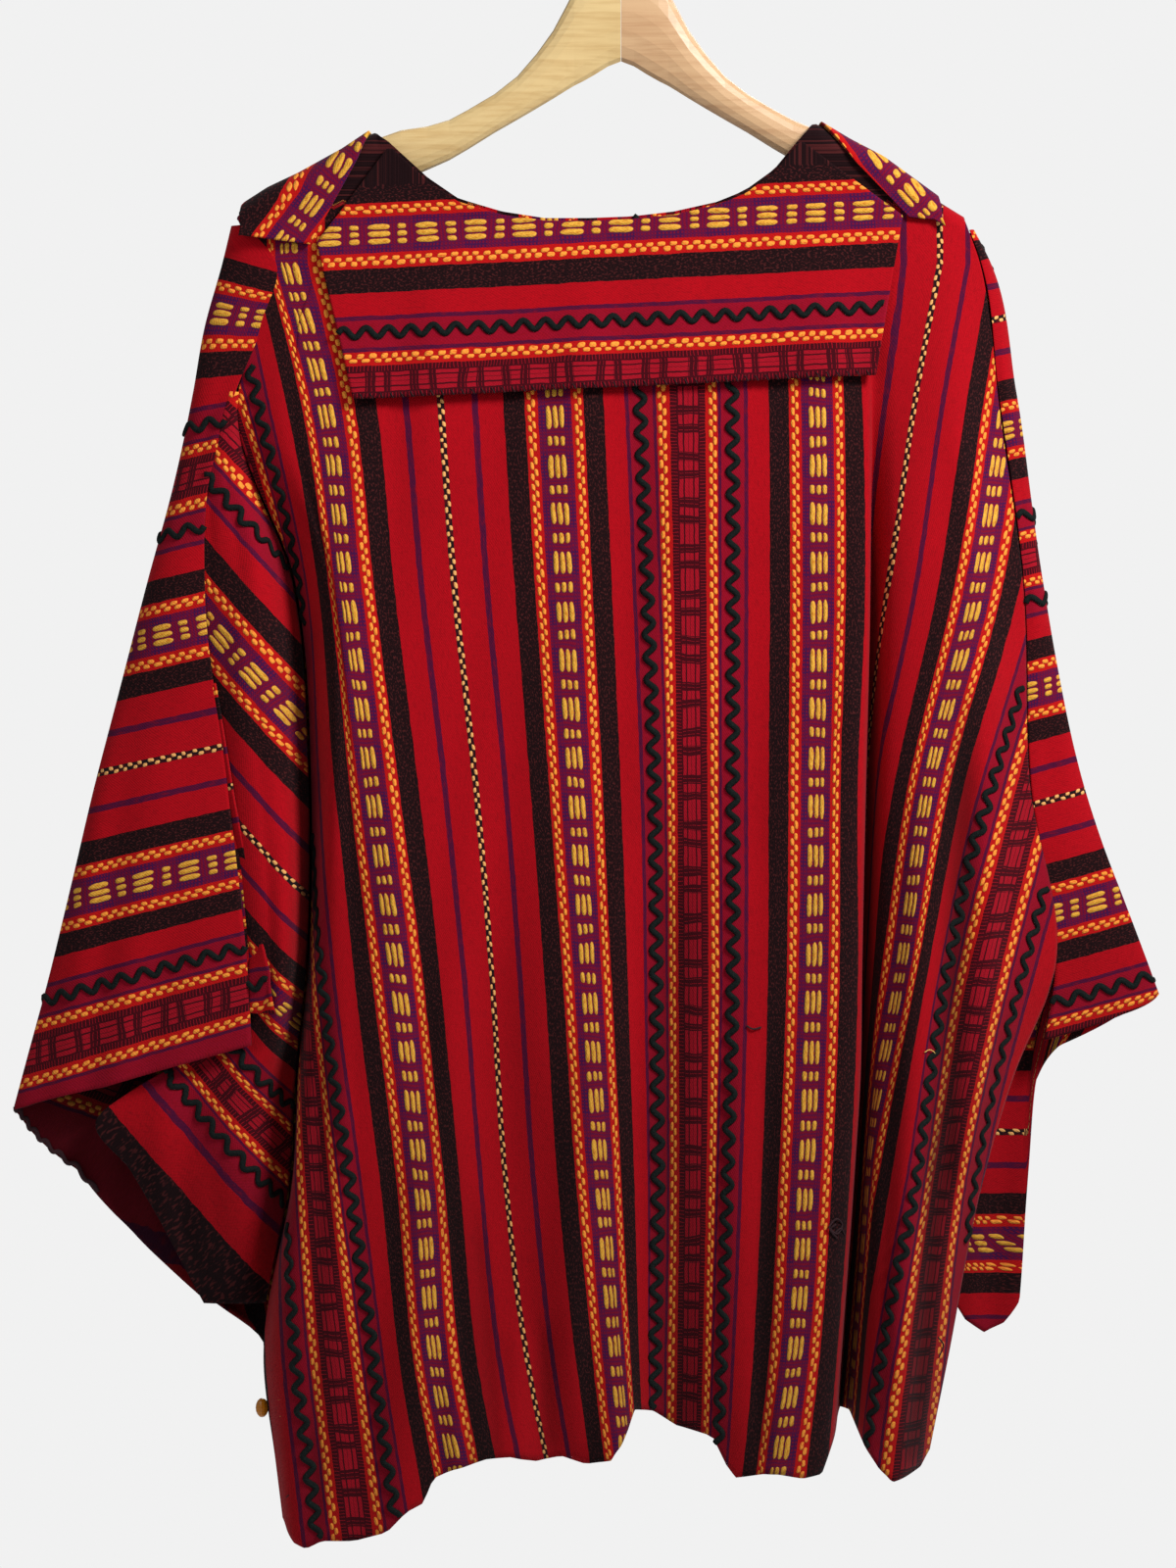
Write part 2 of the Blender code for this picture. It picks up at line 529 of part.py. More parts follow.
def make_band(name, sizes, collection):
    """A collar band: from its ends on the back, over the shoulder and a little way down the front."""
    width = np.linspace(0, 1, 9)[None, :]
    ridge = between(sizes["neck"], sizes["outer"], width)
    top = from_pairs(TOP_EDGE, ridge)
    low = between(sizes["corner"][0], sizes["outer_corner"][0], width)
    low_down = between(sizes["corner"][1], sizes["outer_corner"][1], width)
    reach = np.array((1, 0.8, 0.6, 0.45, 0.3, 0.18, 0.09, 0.035, 0.01))[:, None]
    across = between(ridge, low, reach)
    line = between(top, low_down, reach)
    down = np.maximum(line, from_pairs(TOP_EDGE, across) + SHOULDER * reach * 1.4)
    back = stacked(across, on_back(across, down), down)
    fall = np.array((0.4, 1.5, 3.5, 6.5, 11, 24, 38, 54, BAND_FRONT_LENGTH))[:, None]
    front_across_at = ridge + np.zeros(fall.shape)
    front_down = top + fall
    front = stacked(front_across_at, -on_front(front_across_at, front_down), front_down)
    points = np.concatenate([back, front])
    side = 1 if sizes["outer"] < 0 else -1
    cloth(name, raised(points, side * (WALL + 2 * LAP)), "crimson cloth", collection)


def make_arm(name, sizes, colour, collection):
    """One wooden arm: rounded sections from the joint in the middle out to the tip under the shoulder."""
    side, start, tip = sizes["side"], sizes["covered"], sizes["tip"]
    sections = [section for section in ARM_SECTIONS if section[0] < start - 8] + sizes["extra"]
    for share in (0, 0.2, 0.4, 0.6, 0.8, 0.92, 0.98, 1.0):
        across = between(start, tip, share)
        full = between(ARM_HEIGHTS[0], ARM_HEIGHTS[1], share)
        rounded = math.sqrt(max(1 - max(share - 0.8, 0) ** 2 / 0.043, 0.02))
        middle = float(from_pairs(TOP_EDGE, side * across)) + ARM_SEAT + full / 2
        sections.append((across, middle - full * rounded / 2, middle + full * rounded / 2))
    around = np.linspace(0, 2 * math.pi, 16, endpoint=False)
    work = bmesh.new()
    rings = []
    for index, (across, top, bottom) in enumerate(sections):
        half = (bottom - top) / 2
        thick = ARM_HALF * (1 if index < len(sections) - 3 else (0.9, 0.7, 0.35)[index - len(sections) + 3])
        ring = []
        for angle in around:
            out = math.sin(angle) * thick
            up = math.cos(angle) * half
            ring.append(work.verts.new((side * across * MM, out * MM, (-(top + half) + up) * MM)))
        rings.append(ring)
    for one, other in zip(rings, rings[1:]):
        for first in range(len(around)):
            second = (first + 1) % len(around)
            work.faces.new((one[first], one[second], other[second], other[first]))
    work.faces.new(rings[0])
    work.faces.new(rings[-1])
    bmesh.ops.recalc_face_normals(work, faces=work.faces)
    mesh = bpy.data.meshes.new(name)
    work.to_mesh(mesh)
    work.free()
    mesh.shade_smooth()
    add_object(name, mesh, colour, collection)


def make_hook(collection):
    """Bent wire: up from the crown, out to one side and round over the rail, whose seat is the origin."""
    wire = HOOK_WIRE / 2
    centre = -(HOOK_RADIUS - wire)
    crown = -(ARM_SECTIONS[0][1] - 0.3)
    path = [(0, crown), (0, crown + 8), (0.6, crown + 14)]
    for angle in np.radians(np.linspace(-62, 205, 20)):
        path.append((HOOK_RADIUS * math.cos(angle), centre + HOOK_RADIUS * math.sin(angle)))
    curve = bpy.data.curves.new("hanger_hook", "CURVE")
    curve.dimensions = "3D"
    curve.bevel_depth = wire * MM
    curve.bevel_resolution = 2
    curve.use_fill_caps = True
    line = curve.splines.new("POLY")
    line.points.add(len(path) - 1)
    for point, (across, up) in zip(line.points, path):
        point.co = (across * MM, 0, up * MM, 1)
    add_object("hanger_hook", curve, "steel", collection)


def make_bead(collection):
    at_edge, at_height = np.array([0.0]), np.array([BEAD_DOWN])
    edge = float(back_across(at_edge, at_height)[0])
    edge_depth = float(back_depth(at_edge, at_height)[0])
    work = bmesh.new()
    bmesh.ops.create_uvsphere(work, u_segments=12, v_segments=8, radius=1.0)
    mesh = bpy.data.meshes.new("side_bead")
    for corner in work.verts:
        corner.co = (
            (corner.co.x * BEAD[0] + edge - BEAD_OUT) * MM,
            (corner.co.y * BEAD[1] - edge_depth) * MM,
            (corner.co.z * BEAD[2] - BEAD_DOWN) * MM,
        )
    work.to_mesh(mesh)
    work.free()
    mesh.shade_smooth()
    add_object("side_bead", mesh, "amber", collection)


def main():
    clear_scene()
    collection = bpy.data.collections.new("wool poncho")
    bpy.context.scene.collection.children.link(collection)
    make_back(collection)
    make_wing(collection)
    make_front(collection)
    make_left_sleeve(collection)
    make_tuck(collection)
    make_right_sleeve(collection)
    make_flap(collection)
    for name, sizes in BANDS.items():
        make_band(name, sizes, collection)
    for name, colour in (("hanger_arm_left", "pale wood"), ("hanger_arm_right", "pink wood")):
        make_arm(name, ARMS[name], colour, collection)
    make_hook(collection)
    make_bead(collection)


main()
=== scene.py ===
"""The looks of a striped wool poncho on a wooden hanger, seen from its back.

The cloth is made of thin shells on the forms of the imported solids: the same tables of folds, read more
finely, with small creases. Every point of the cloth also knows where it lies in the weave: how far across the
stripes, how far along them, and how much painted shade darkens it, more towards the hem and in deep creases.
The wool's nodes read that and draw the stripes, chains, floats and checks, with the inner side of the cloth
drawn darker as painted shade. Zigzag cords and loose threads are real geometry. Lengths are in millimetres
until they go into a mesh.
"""

import math

import bpy
import numpy as np
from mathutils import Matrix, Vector


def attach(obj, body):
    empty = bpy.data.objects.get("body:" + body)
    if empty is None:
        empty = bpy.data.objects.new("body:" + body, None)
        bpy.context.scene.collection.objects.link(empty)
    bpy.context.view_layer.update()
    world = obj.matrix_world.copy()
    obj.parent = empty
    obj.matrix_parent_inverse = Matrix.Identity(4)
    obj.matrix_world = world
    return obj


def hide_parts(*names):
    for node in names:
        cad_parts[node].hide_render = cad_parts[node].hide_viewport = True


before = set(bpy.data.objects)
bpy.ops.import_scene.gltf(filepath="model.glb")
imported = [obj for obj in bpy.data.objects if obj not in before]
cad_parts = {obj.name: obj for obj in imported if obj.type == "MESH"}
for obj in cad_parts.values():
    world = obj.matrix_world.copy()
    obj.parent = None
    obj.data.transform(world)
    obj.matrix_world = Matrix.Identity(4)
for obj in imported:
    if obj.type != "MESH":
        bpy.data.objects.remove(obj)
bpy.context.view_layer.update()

MM = 0.001
WALL = 2.0  # thickness of the woven wool
SEAM = 0.05  # between the middles of two walls that meet edge to edge
SEAM_REACH = 1.5  # how far the left sleeve's panel runs on past its seams, so that no gap shows
LAP = 0.5  # between a wall and what is laid on it
SHOULDER = 10.0  # radius of the cloth's bend over the hanger
TABLES_START = 235.0  # how far down the tables of folds begin: above it their first values hold
FOLD_GAP = 3.2  # between the middles of the walls that meet at the bottom of the left fold
JOIN = 2.8  # between the middles of the two layers where they are sewn down the sides

# The outline over the shoulders and round the back of the neck: across, down.
TOP_EDGE = (
    (-240, 237), (-230, 226), (-216, 217), (-197, 208), (-170, 193), (-152, 181), (-143, 187), (-119, 209),
    (-100, 222), (-73, 230), (-47, 234), (-20, 234), (6, 233), (32, 230), (59, 224), (76, 217), (94, 204),
    (108, 187), (119, 175), (139, 187), (160, 198), (193, 222), (211, 233), (218, 238),
)
NECK_LEFT, NECK_RIGHT = -152, 119  # where the neck crosses the hanger

# The back's hem, uneven where the cloth gathers: across, down.
BACK_LENGTH = 990.0  # down to about its hem
BACK_HEM = (
    (-216, 1030), (-205, 1045), (-198, 1048), (-188, 1043), (-169, 1042), (-150, 1036), (-136, 1023),
    (-126, 1018), (-117, 1003), (-105, 998), (-83, 992), (-68, 991), (-53, 994), (-36, 991), (-22, 995),
    (-7, 992), (0, 983), (4, 974), (8, 963), (19, 965), (33, 974), (55, 979), (64, 995), (71, 1003),
    (87, 1000), (96, 1000), (111, 1003), (122, 1001), (127, 984), (133, 967), (140, 967), (149, 986),
    (157, 998), (166, 1006), (185, 1001), (190, 992),
)

# The back, fold by fold from the left: its edge and rim beside the left fold, two ridges, a hollow, the middle
# ridge and the dip after it, the middle, the right ridge and rim, the right fold, and the right wing.
BACK_PLACES = (0.0, 0.5, 1.2, 2.2, 3.4, 4.6, 5.0, 6.0, 7.2, 7.9, 8.5, 9.1, 10.0, 11.0)
RIM_RIGHT, WING_RIM = BACK_PLACES[9], BACK_PLACES[11]
BACK_HEIGHTS = (235, 260, 300, 340, 460, 580, 700, 760, 820, 940, 1000)
BACK_ACROSS = {
    # each row holds one fold, from the shoulder down to the hem
    "edge": (-236, -214, -222, -235, -200, -191, -193, -199, -202, -220, -212),
    "rim_left": (-223, -203, -210, -215, -184, -179, -185, -191, -197, -208, -202),
    "lobe": (-212, -193, -199, -203, -176, -166, -161, -161, -161, -160, -151),
    "ridge_left": (-200, -182, -190, -188, -169, -153, -136, -129, -122, -112, -98),
    "hollow": (-116, -115, -113, -111, -102, -89, -79, -76, -71, -56, -44),
    "ridge_middle": (-46, -44, -43, -41, -35, -28, -20, -17, -12, -2, 2),
    "dip": (-29, -28, -26, -25, -19, -11, -4, 0, 4, 10, 11),
    "middle": (41, 41, 41, 41, 42, 43, 44, 44, 44, 43, 41),
    "ridge_right": (119, 119, 119, 120, 121, 119, 117, 115, 112, 103, 95),
    "rim_right": (143, 144, 145, 148, 149, 146, 144, 143, 139, 130, 125),
    "fold_right": (155, 155, 156, 155, 154, 152, 149, 148, 145, 137, 133),
    "wing_rim": (167, 168, 169, 169, 167, 163, 161, 158, 155, 151, 148),
    "wing": (190, 196, 199, 202, 208, 209, 211, 202, 190, 175, 169),
    "wing_edge": (211, 220, 227, 231, 247, 251, 266, 242, 224, 200, 188),
}
BACK_DEPTH_HEIGHTS = (235, 340, 460, 700, 880, 1000)
BACK_DEPTH = {
    "edge": (10, 12, -4, -9, -10, 4),
    "rim_left": (10, 18, 23, 28, 31, 34),
    "lobe": (11, 20, 29, 38, 45, 50),
    "ridge_left": (12, 22, 32, 42, 49, 54),
    "hollow": (13, 22, 29, 33, 36, 42),
    "ridge_middle": (13, 23, 31, 41, 49, 54),
    "dip": (13, 23, 30, 37, 36, 32),
    "middle": (13, 23, 30, 36, 35, 34),
    "ridge_right": (13, 23, 33, 44, 52, 58),
    "rim_right": (13, 22, 31, 38, 42, 46),
    "fold_right": (13, 16, 2, -6, -8, -4),
    "wing_rim": (13, 20, 26, 31, 33, 36),
    "wing": (12, 22, 32, 40, 43, 46),
    "wing_edge": (10, 10, 8, 6, 4, 2),
}

# The left wing of the back, from the sleeve's seam to the bottom of the left fold.
WING_PLACES = (0.0, 0.45, 0.8, 1.0)
WING_BOTTOM = 903
WING_HEIGHTS = (340, 400, 460, 580, 700, 742, 770, 787, 820, 850, 880, 905)
WING_LEFT = (-238, -255, -257, -243, -230, -252, -300, -322, -302, -285, -270, -257)
WING_DEPTH_HEIGHTS = (340, 400, 460, 580, 700, 742, 820, 905)
WING_DEPTH = {
    "seam": (13, 15, 16, 18, 18, 14, 6, -8),
    "crest": (13, 19, 24, 28, 26, 18, 14, -6),
    "rim": (13, 15, 18, 22, 22, 17, 12, -7),
    "fold": (12, 2, -4, -8, -9, -10, -10, -11),
}

# The front, which hangs plainly: its edges, its shallow folds and its hem, all across and down.
FRONT_HEM = ((-212, 985), (-150, 968), (-60, 955), (60, 950), (130, 950), (188, 958))
FRONT_DEPTH_HEIGHTS = (235, 300, 460, 700, 960)
FRONT_DEPTH = (10, 18, 30, 36, 40)  # away from the edges
FRONT_FOLD = (0, 1, 5, 9, 12)  # how far its folds rise and fall
FRONT_FOLDS = 5.5  # waves across it
FRONT_LENGTH = 725  # from where the tables start to about its hem
FRONT_STRAIGHT = {"left": (-256, 0.06), "right": (224, -0.05)}  # its sides' lines: across at 600, slope
UNDERARM = (892, 930)  # where the front's edges pass from the sleeves' seams to the body's sides
SCOOP = 108  # how far the front of the neck drops below the shoulders

# Left sleeve: the seam on the back, the outer edge where the panel is folded, and the seam on the front.
LEFT_TOP, RIGHT_TOP = 238, 241  # where the sleeves start on the shoulders
SLEEVE_HEIGHTS = (235, 260, 300, 340, 400, 460, 580, 700, 760, 820, 905)
LEFT_SEAM = (-236, -214, -222, -238, -255, -257, -243, -230, -227, -224, -220)
LEFT_EDGE = (-239, -245, -256, -263, -276, -292, -323, -352, -368, -384, -406)
LEFT_FRONT = (-236, -222, -229, -238, -248, -255, -262, -262, -260, -256, -259)
LEFT_CUFF = ((0, 742), (0.5, 768), (0.9, 781), (1.0, 783), (1.1, 788), (1.25, 800), (1.5, 821), (1.75, 860),
             (2.0, 902))
# The tuck beside its back seam: its width at each height.
TUCK_HEIGHTS = (520, 600, 660, 700, 744)
TUCK_WIDTHS = (4, 7, 12, 16, 19)
TUCK_BOTTOM = 722
TUCK_SHIFT = (26, 9)  # how far down and along its stripes are set off from the sleeve's
SLEEVE_DEPTH_HEIGHTS = (235, 340, 460, 700, 800)
SLEEVE_DEPTH = (10, 14, 19, 25, 24)  # at the back seam
SLEEVE_FRONT_DEPTH = (10, 13, 15, 16, 14)  # at the front seam

# Right sleeve, whose front half hangs lower behind the wing: across at each height, for each fold.
RIGHT_PLACES = (0.0, 1.0, 1.7, 2.1, 2.6, 3.1, 3.6)
RIGHT_HEIGHTS = (235, 260, 340, 460, 580, 700, 760, 820, 905)
RIGHT_ACROSS = {
    "seam": (212, 221, 232, 248, 252, 267, 257, 250, 240),
    "edge": (214, 227, 243, 260, 284, 327, 349, 371, 402),
    "front_outer": (213, 225, 240, 254, 267, 276, 271, 268, 266),
    "front_fold": (212, 223, 238, 250, 260, 266, 258, 256, 254),
    "end_outer": (212, 221, 236, 246, 254, 260, 253, 249, 247),
    "end": (212, 219, 231, 238, 242, 240, 234, 230, 226),
    "front_seam": (212, 216, 225, 232, 234, 229, 220, 211, 206),
}
RIGHT_CUFF = ((0, 740), (0.5, 724), (1.0, 712), (1.35, 722), (1.7, 744), (2.1, 766), (2.45, 850), (2.6, 902),
              (2.85, 916), (3.1, 922), (3.4, 914), (3.6, 902))
RIGHT_DEPTH_HEIGHTS = (235, 340, 580, 760, 920)
RIGHT_DEPTH = {
    "seam": (9, 8.5, 6.5, 5, 5),
    "edge": (0, 0, 0, 0, 0),
    "front_outer": (-9, -10, -11, -13, -14),
    "front_fold": (-10, -10, -13, -15, -14),
    "end_outer": (-10, -11, -15, -17, -12),
    "end": (-10, -12, -17, -20, -14),
    "front_seam": (-10, -13, -16, -16, -13),
}

# Collar flap: from left to right, its line at the neck, its mitred corners and its lower edge, as across, down.
FLAP_NECK = ((-144, 192), (112, 188))
FLAP_CORNERS = ((-187, 250), (173, 233))
FLAP_LOW = ((-164, 347), (156, 332))
FLAP_SAG = 22  # how far the line between its corners dips below the neck
FLAP_LIFT = 3.5  # how far the flap's loose lower edge stands off
BAND_FRONT_LENGTH = 84  # below the shoulder, on the front
BANDS = {
    # where each band's edges cross the shoulder, and where they end on the back
    "collar_left": {"neck": -153, "outer": -231, "corner": (-191, 251), "outer_corner": (-235, 245)},
    "collar_right": {"neck": 121, "outer": 193, "corner": (177, 234), "outer_corner": (199, 236)},
}

# The columns of the back's and the front's grids: closer together where the cloth bends sharply.
BACK_COLUMNS = (
    0, 0.12, 0.28, 0.5, 0.8, 1.2, 1.7, 2.2, 2.5, 2.75, 2.9, 3.0, 3.15, 3.4, 4.0, 4.35, 4.6, 4.8, 5.0, 5.4, 6.0,
    6.6, 6.95, 7.2, 7.6, 7.9, 8.1, 8.3, 8.5, 8.7, 8.9, 9.1, 9.45, 10.0, 10.4, 10.75, 11.0,
)
FRONT_SHARES = (
    0, 0.025, 0.06, 0.1, 0.14, 0.17, 0.19, 0.205, 0.2175, 0.2275, 0.24, 0.27, 0.31, 0.35, 0.39, 0.43, 0.47, 0.51,
    0.55, 0.59, 0.63, 0.67, 0.71, 0.745, 0.762, 0.772, 0.78, 0.79, 0.81, 0.84, 0.88, 0.92, 0.96, 1.0,
)

# The weave. "across" is the distance from the middle of a band of yellow floats, in millimetres, and the cloth
# repeats as one section with zigzags and one with a dotted line.
REPEAT = 299.0
ZIGZAG_SECTION = 161.0
ZIGZAG_LINES = (54.0, 107.0)  # the zigzag cords' places in the repeat
ZIGZAG_PITCH = 13.8
ZIGZAG_HEIGHT = 5.8
CORD_WIDTH = 3.9
CORD_RISE = 1.2
CORD_STEP = 1.15  # along the stripe, between the rings of its tube

# Where the stripes of the back run: across on the garment at each height, for lines a known way across the weave.
STRIPE_HEIGHTS = (262, 342, 462, 582, 702, 822, 942, 1002)
BACK_STRIPES = {
    -245: (-330, -270, -224, -212, -207, -204, -197, -190),
    -192: (-241, -224, -197, -191, -182, -166, -149, -140),
    -138: (-206, -184, -169, -153, -136, -122, -112, -100),
    -69: (-116, -111, -102, -89, -79, -71, -56, -44),
    0: (-44, -41, -35, -28, -20, -12, -2, 4),
    54: (7, 11, 16, 20, 21, 22, 20, 20),
    80.5: (40, 41, 42, 43, 44, 44, 43, 42),
    107: (66, 68, 68, 68, 68, 65, 61, 59),
    161: (119, 120, 121, 119, 117, 112, 103, 93),
    193: (143, 148, 149, 144, 144, 139, 130, 125),
}
WING_STRIPES = {
    209: (173, 164, 148, 130, 112, 90, 70, 60),
    230: (196, 181, 164, 143, 127, 110, 92, 84),
    299: (253, 238, 217, 187, 170, 147, 130, 122),
    353: (310, 290, 265, 226, 196, 178, 157, 148),
    406: (365, 345, 320, 280, 244, 217, 205, 200),
}
# The left wing's slanting stripes: where each meets the left fold, and how steeply they fall to the right.
LEFT_WING_STRIPES = (
    (388, -205), (434, -232), (456, -245), (545, -299), (615, -347), (645, -368), (672, -389), (729, -437),
    (816, -517), (852, -545), (915, -568), (1010, -579),
)
LEFT_WING_SLOPE = 1.15
LEFT_FOLD_ACROSS = -200.0
# The left sleeve's stripes: how far down each is met and where that was read, and how they rise to the right.
LEFT_SLEEVE_STRIPES = (
    (252, -38), (277, -15), (293, 0), (312, 15), (361, 54), (392, 80), (427, 107), (490, 161), (568, 230),
    (640, 299), (696, 353), (755, 406), (920, 436),
)
LEFT_SLEEVE_MIDDLE = ((252, -236), (293, -241), (361, -255), (409, -266), (491, -280), (568, -286), (755, -284))
LEFT_SLEEVE_SLOPE = ((252, 0.33), (277, 0.28), (312, 0.0), (361, -0.2), (409, -0.26), (568, -0.21), (755, -0.3))
# The right sleeve: where its bands of floats are met on the upper part and on the hanging end, and their slope.
RIGHT_SLEEVE = {"yellow": 656, "at": 288, "slope": -0.27, "stretch": 0.98, "end_yellow": 867}
# The collar flap: how far below its floats each line is met, and its place in the weave.
FLAP_STRIPES = ((-30, -28), (0, 0), (16.5, 14.7), (29, 24), (43, 37), (61, 54), (78, 66.5), (89, 78), (104, 92))
FLAP_YELLOW = {"down": 245, "at": -152, "slope": -0.05}
BAND_STRIPES = {
    # a point on each band's inner chain, and the direction square to its stripes
    "collar_left": {"across": -143.4, "down": 186.6, "out": (-0.809, -0.588), "along": (-0.588, 0.809)},
    "collar_right": {"across": 127.2, "down": 184.8, "out": (0.75, -0.66), "along": (0.66, 0.75)},
}
BAND_CHAIN = 14.7

NECK_DARK, DARK_PLACE = 226, 24  # the back's top edge above this height shows a dark stripe
BESIDE_SLEEVE = 730  # down to here the wing's left edge runs on under the sleeve's seam
SEARCH_STEPS = 30  # halvings that find a place on the cloth
FINE_WING_TOP = 341  # where the wing comes to a point between the back and the sleeve

# Small folds in the cloth: the length of each wave across and down, its height, and where it starts.
RIPPLES = (
    (74, 900, 0.9, 0.3), (47, 620, 0.55, 1.9), (118, 410, 0.8, 4.0), (31, 350, 0.22, 2.6), (160, 230, 0.6, 5.1),
)
# painted shade: the cloth is never drawn darker than this share of its colour
DARKEST = 0.25
LOW_SHADE, CREASE_SHADE = 0.3, 0.075  # painted shade: how much darker the cloth is drawn near its hem, and for each millimetre of a crease
LOWER_WAVES = 0.9  # how much more the cloth waves near its hem
# Creases: from across, down to across, down, half their width, and their height, below nought for a trough.
BACK_CREASES = (
    (-150, 470, -118, 980, 9, 2.6), (-128, 640, -86, 1010, 8, -2.4), (-10, 560, 12, 1000, 7, 2.2),
    (30, 560, 36, 990, 12, -4.4), (70, 520, 72, 1000, 10, 3.2), (92, 700, 84, 1000, 7, -2.8),
    (200, 330, 246, 640, 9, 2.4), (212, 500, 198, 830, 10, -7.5), (198, 760, 176, 1000, 9, -7.5),
    (186, 520, 168, 960, 8, 4.2), (234, 540, 208, 940, 8, 4.6), (168, 700, 158, 1000, 5, -2.6),
    (-196, 560, -206, 1040, 6, 2.4), (-180, 620, -186, 1040, 6, -3.4), (-168, 700, -170, 1036, 5, 2.0),
    (-30, 880, -26, 992, 6, 2.6), (-66, 900, -60, 992, 6, 2.2), (-48, 900, -44, 992, 6, -2.6),
    (-92, 820, -76, 998, 6, -2.6), (-108, 860, -98, 1004, 5, 2.2),
    (-60, 360, -52, 760, 14, 1.4), (20, 350, 8, 620, 16, -1.3), (96, 350, 92, 620, 12, 1.2),
)


DARK_THREAD, PALE_THREAD, STITCH = 0.55, 0.3, 0.35  # half the thickness of each
STITCH_PITCH = 6.2  # along the flap's lower edge
EDGING = (1.4, 1.2)  # half the width and the height of the left cuff's edging
# Loose threads on the back: across, down, and how far each place stands off the cloth.
DARK_THREADS = (
    ((127, 848, 0.4), (131, 846, 1.6), (134, 850, 0.6), (131, 855, 1.4), (127, 852, 0.5), (130, 849, 2.0)),
    ((128, 856, 0.2), (133, 852, 1.8), (136, 857, 0.4)), ((130, 846, 0.2), (126, 851, 1.5), (131, 858, 0.3)),
    ((76, 729, 0.0), (80, 731, 0.8), (85, 730, 0.2)), ((194, 921, 0.2), (198, 927, 0.9), (195, 934, 0.4)),
    ((-203, 1016, 0.2), (-208, 1024, 0.8), (-204, 1032, 0.3)),
)
PALE_THREADS = (
    ((184, 745, 0.2), (187, 743.5, 1.2), (190, 745, 1.4), (191, 748, 0.4)),
    ((-209, 958, 0.2), (-214, 962, 0.4), (-217, 966, 0.6)),
    ((-208, 968, 0.2), (-213, 972, 0.4), (-217, 969, 0.4)),
)


def smooth(knots, values, at):
    """A smooth curve through the values, read at each place; a row of values for each place, or one for all."""
    knots = np.asarray(knots, float)
    values = np.asarray(values, float)
    at = np.asarray(at, float)
    slopes = np.gradient(values, knots, axis=-1)
    held = np.clip(at, knots[0], knots[-1])
    first = np.clip(np.searchsorted(knots, held, side="right") - 1, 0, len(knots) - 2)

    def read(table, index):
        if table.ndim == 1:
            return table[index]
        return np.take_along_axis(table, index[:, None], 1)[:, 0]

    width = knots[first + 1] - knots[first]
    t = (held - knots[first]) / width
    start, end = read(values, first), read(values, first + 1)
    rise, fall = read(slopes, first) * width, read(slopes, first + 1) * width
    curve = (2 * t**3 - 3 * t**2 + 1) * start + (3 * t**2 - 2 * t**3) * end
    curve += (t**3 - 2 * t**2 + t) * rise + (t**3 - t**2) * fall
    last_slope = read(slopes, np.full(first.shape, len(knots) - 1))
    return curve + last_slope * np.maximum(at - knots[-1], 0)


def at_heights(heights, values, down):
    """A row of a table, read at every height of a grid."""
    return smooth(heights, values, down.ravel()).reshape(down.shape)


def lofted(places, heights, table, place, down):
    """A value read between the folds of a table: one row for each fold, one column for each height."""
    place, down = np.broadcast_arrays(np.asarray(place, float), np.asarray(down, float))
    across = np.stack([smooth(heights, row, down.ravel()) for row in table.values()], axis=1)
    return at_heights(places, across, place)


def from_pairs(pairs, at):
    return np.interp(at, *zip(*pairs))


def eased(value, low, high):
    t = np.clip((value - low) / (high - low), 0, 1)
    return t * t * (3 - 2 * t)


def over_shoulder(across, down, depth):
    """The depth of cloth that bends over the hanger near its top edge, beside the neck."""
    bend = np.maximum(SHOULDER - (down - from_pairs(TOP_EDGE, across)), 0)
    rounded = np.sqrt(np.maximum(SHOULDER**2 - bend**2, 0)) / SHOULDER
    in_neck = eased(across, NECK_LEFT, NECK_LEFT + 5) * (1 - eased(across, NECK_RIGHT - 5, NECK_RIGHT))
    return depth * (in_neck + rounded * (1 - in_neck))


def back_across(place, down):
    return lofted(BACK_PLACES, BACK_HEIGHTS, BACK_ACROSS, place, down)


def back_depth(place, down):
    return lofted(BACK_PLACES, BACK_DEPTH_HEIGHTS, BACK_DEPTH, place, down)


def place_at(across, across_of, low, high):
    """The place between low and high where across_of(place) reaches this distance across."""
    low = np.full(across.shape, float(low))
    high = np.full(across.shape, float(high))
    for _ in range(SEARCH_STEPS):
        middle = (low + high) / 2
        beyond = across_of(middle) > across
        high = np.where(beyond, middle, high)
        low = np.where(beyond, low, middle)
    return (low + high) / 2


def back_place(across, down):
    """The place between the folds of the back that lies at this distance across."""
    return place_at(across, lambda place: back_across(place, down), BACK_PLACES[0], BACK_PLACES[-1])


def front_sides(down):
    """The front's left and right edges: its seams with the sleeves, then the body's sides."""
    seam_left = at_heights(SLEEVE_HEIGHTS, LEFT_FRONT, down) + SEAM
    seam_right = at_heights(RIGHT_HEIGHTS, RIGHT_ACROSS["front_seam"], down) - 2 * SEAM
    past = eased(down, *UNDERARM)
    return (
        between(seam_left, back_across(np.zeros(down.shape), down), past),
        between(seam_right, back_across(np.full(down.shape, BACK_PLACES[-1]), down), past),
    )


def front_across(share, down):
    """Distance across at a share of the width: the folds keep straight where the edges turn in."""
    left, right = front_sides(down)
    straight_left, straight_right = (start + slope * (down - 600) for start, slope in FRONT_STRAIGHT.values())
    straight = between(straight_left, straight_right, share)
    hold_left, hold_right = (1 - share) ** 5, share**5
    return straight + (left - straight_left) * hold_left + (right - straight_right) * hold_right


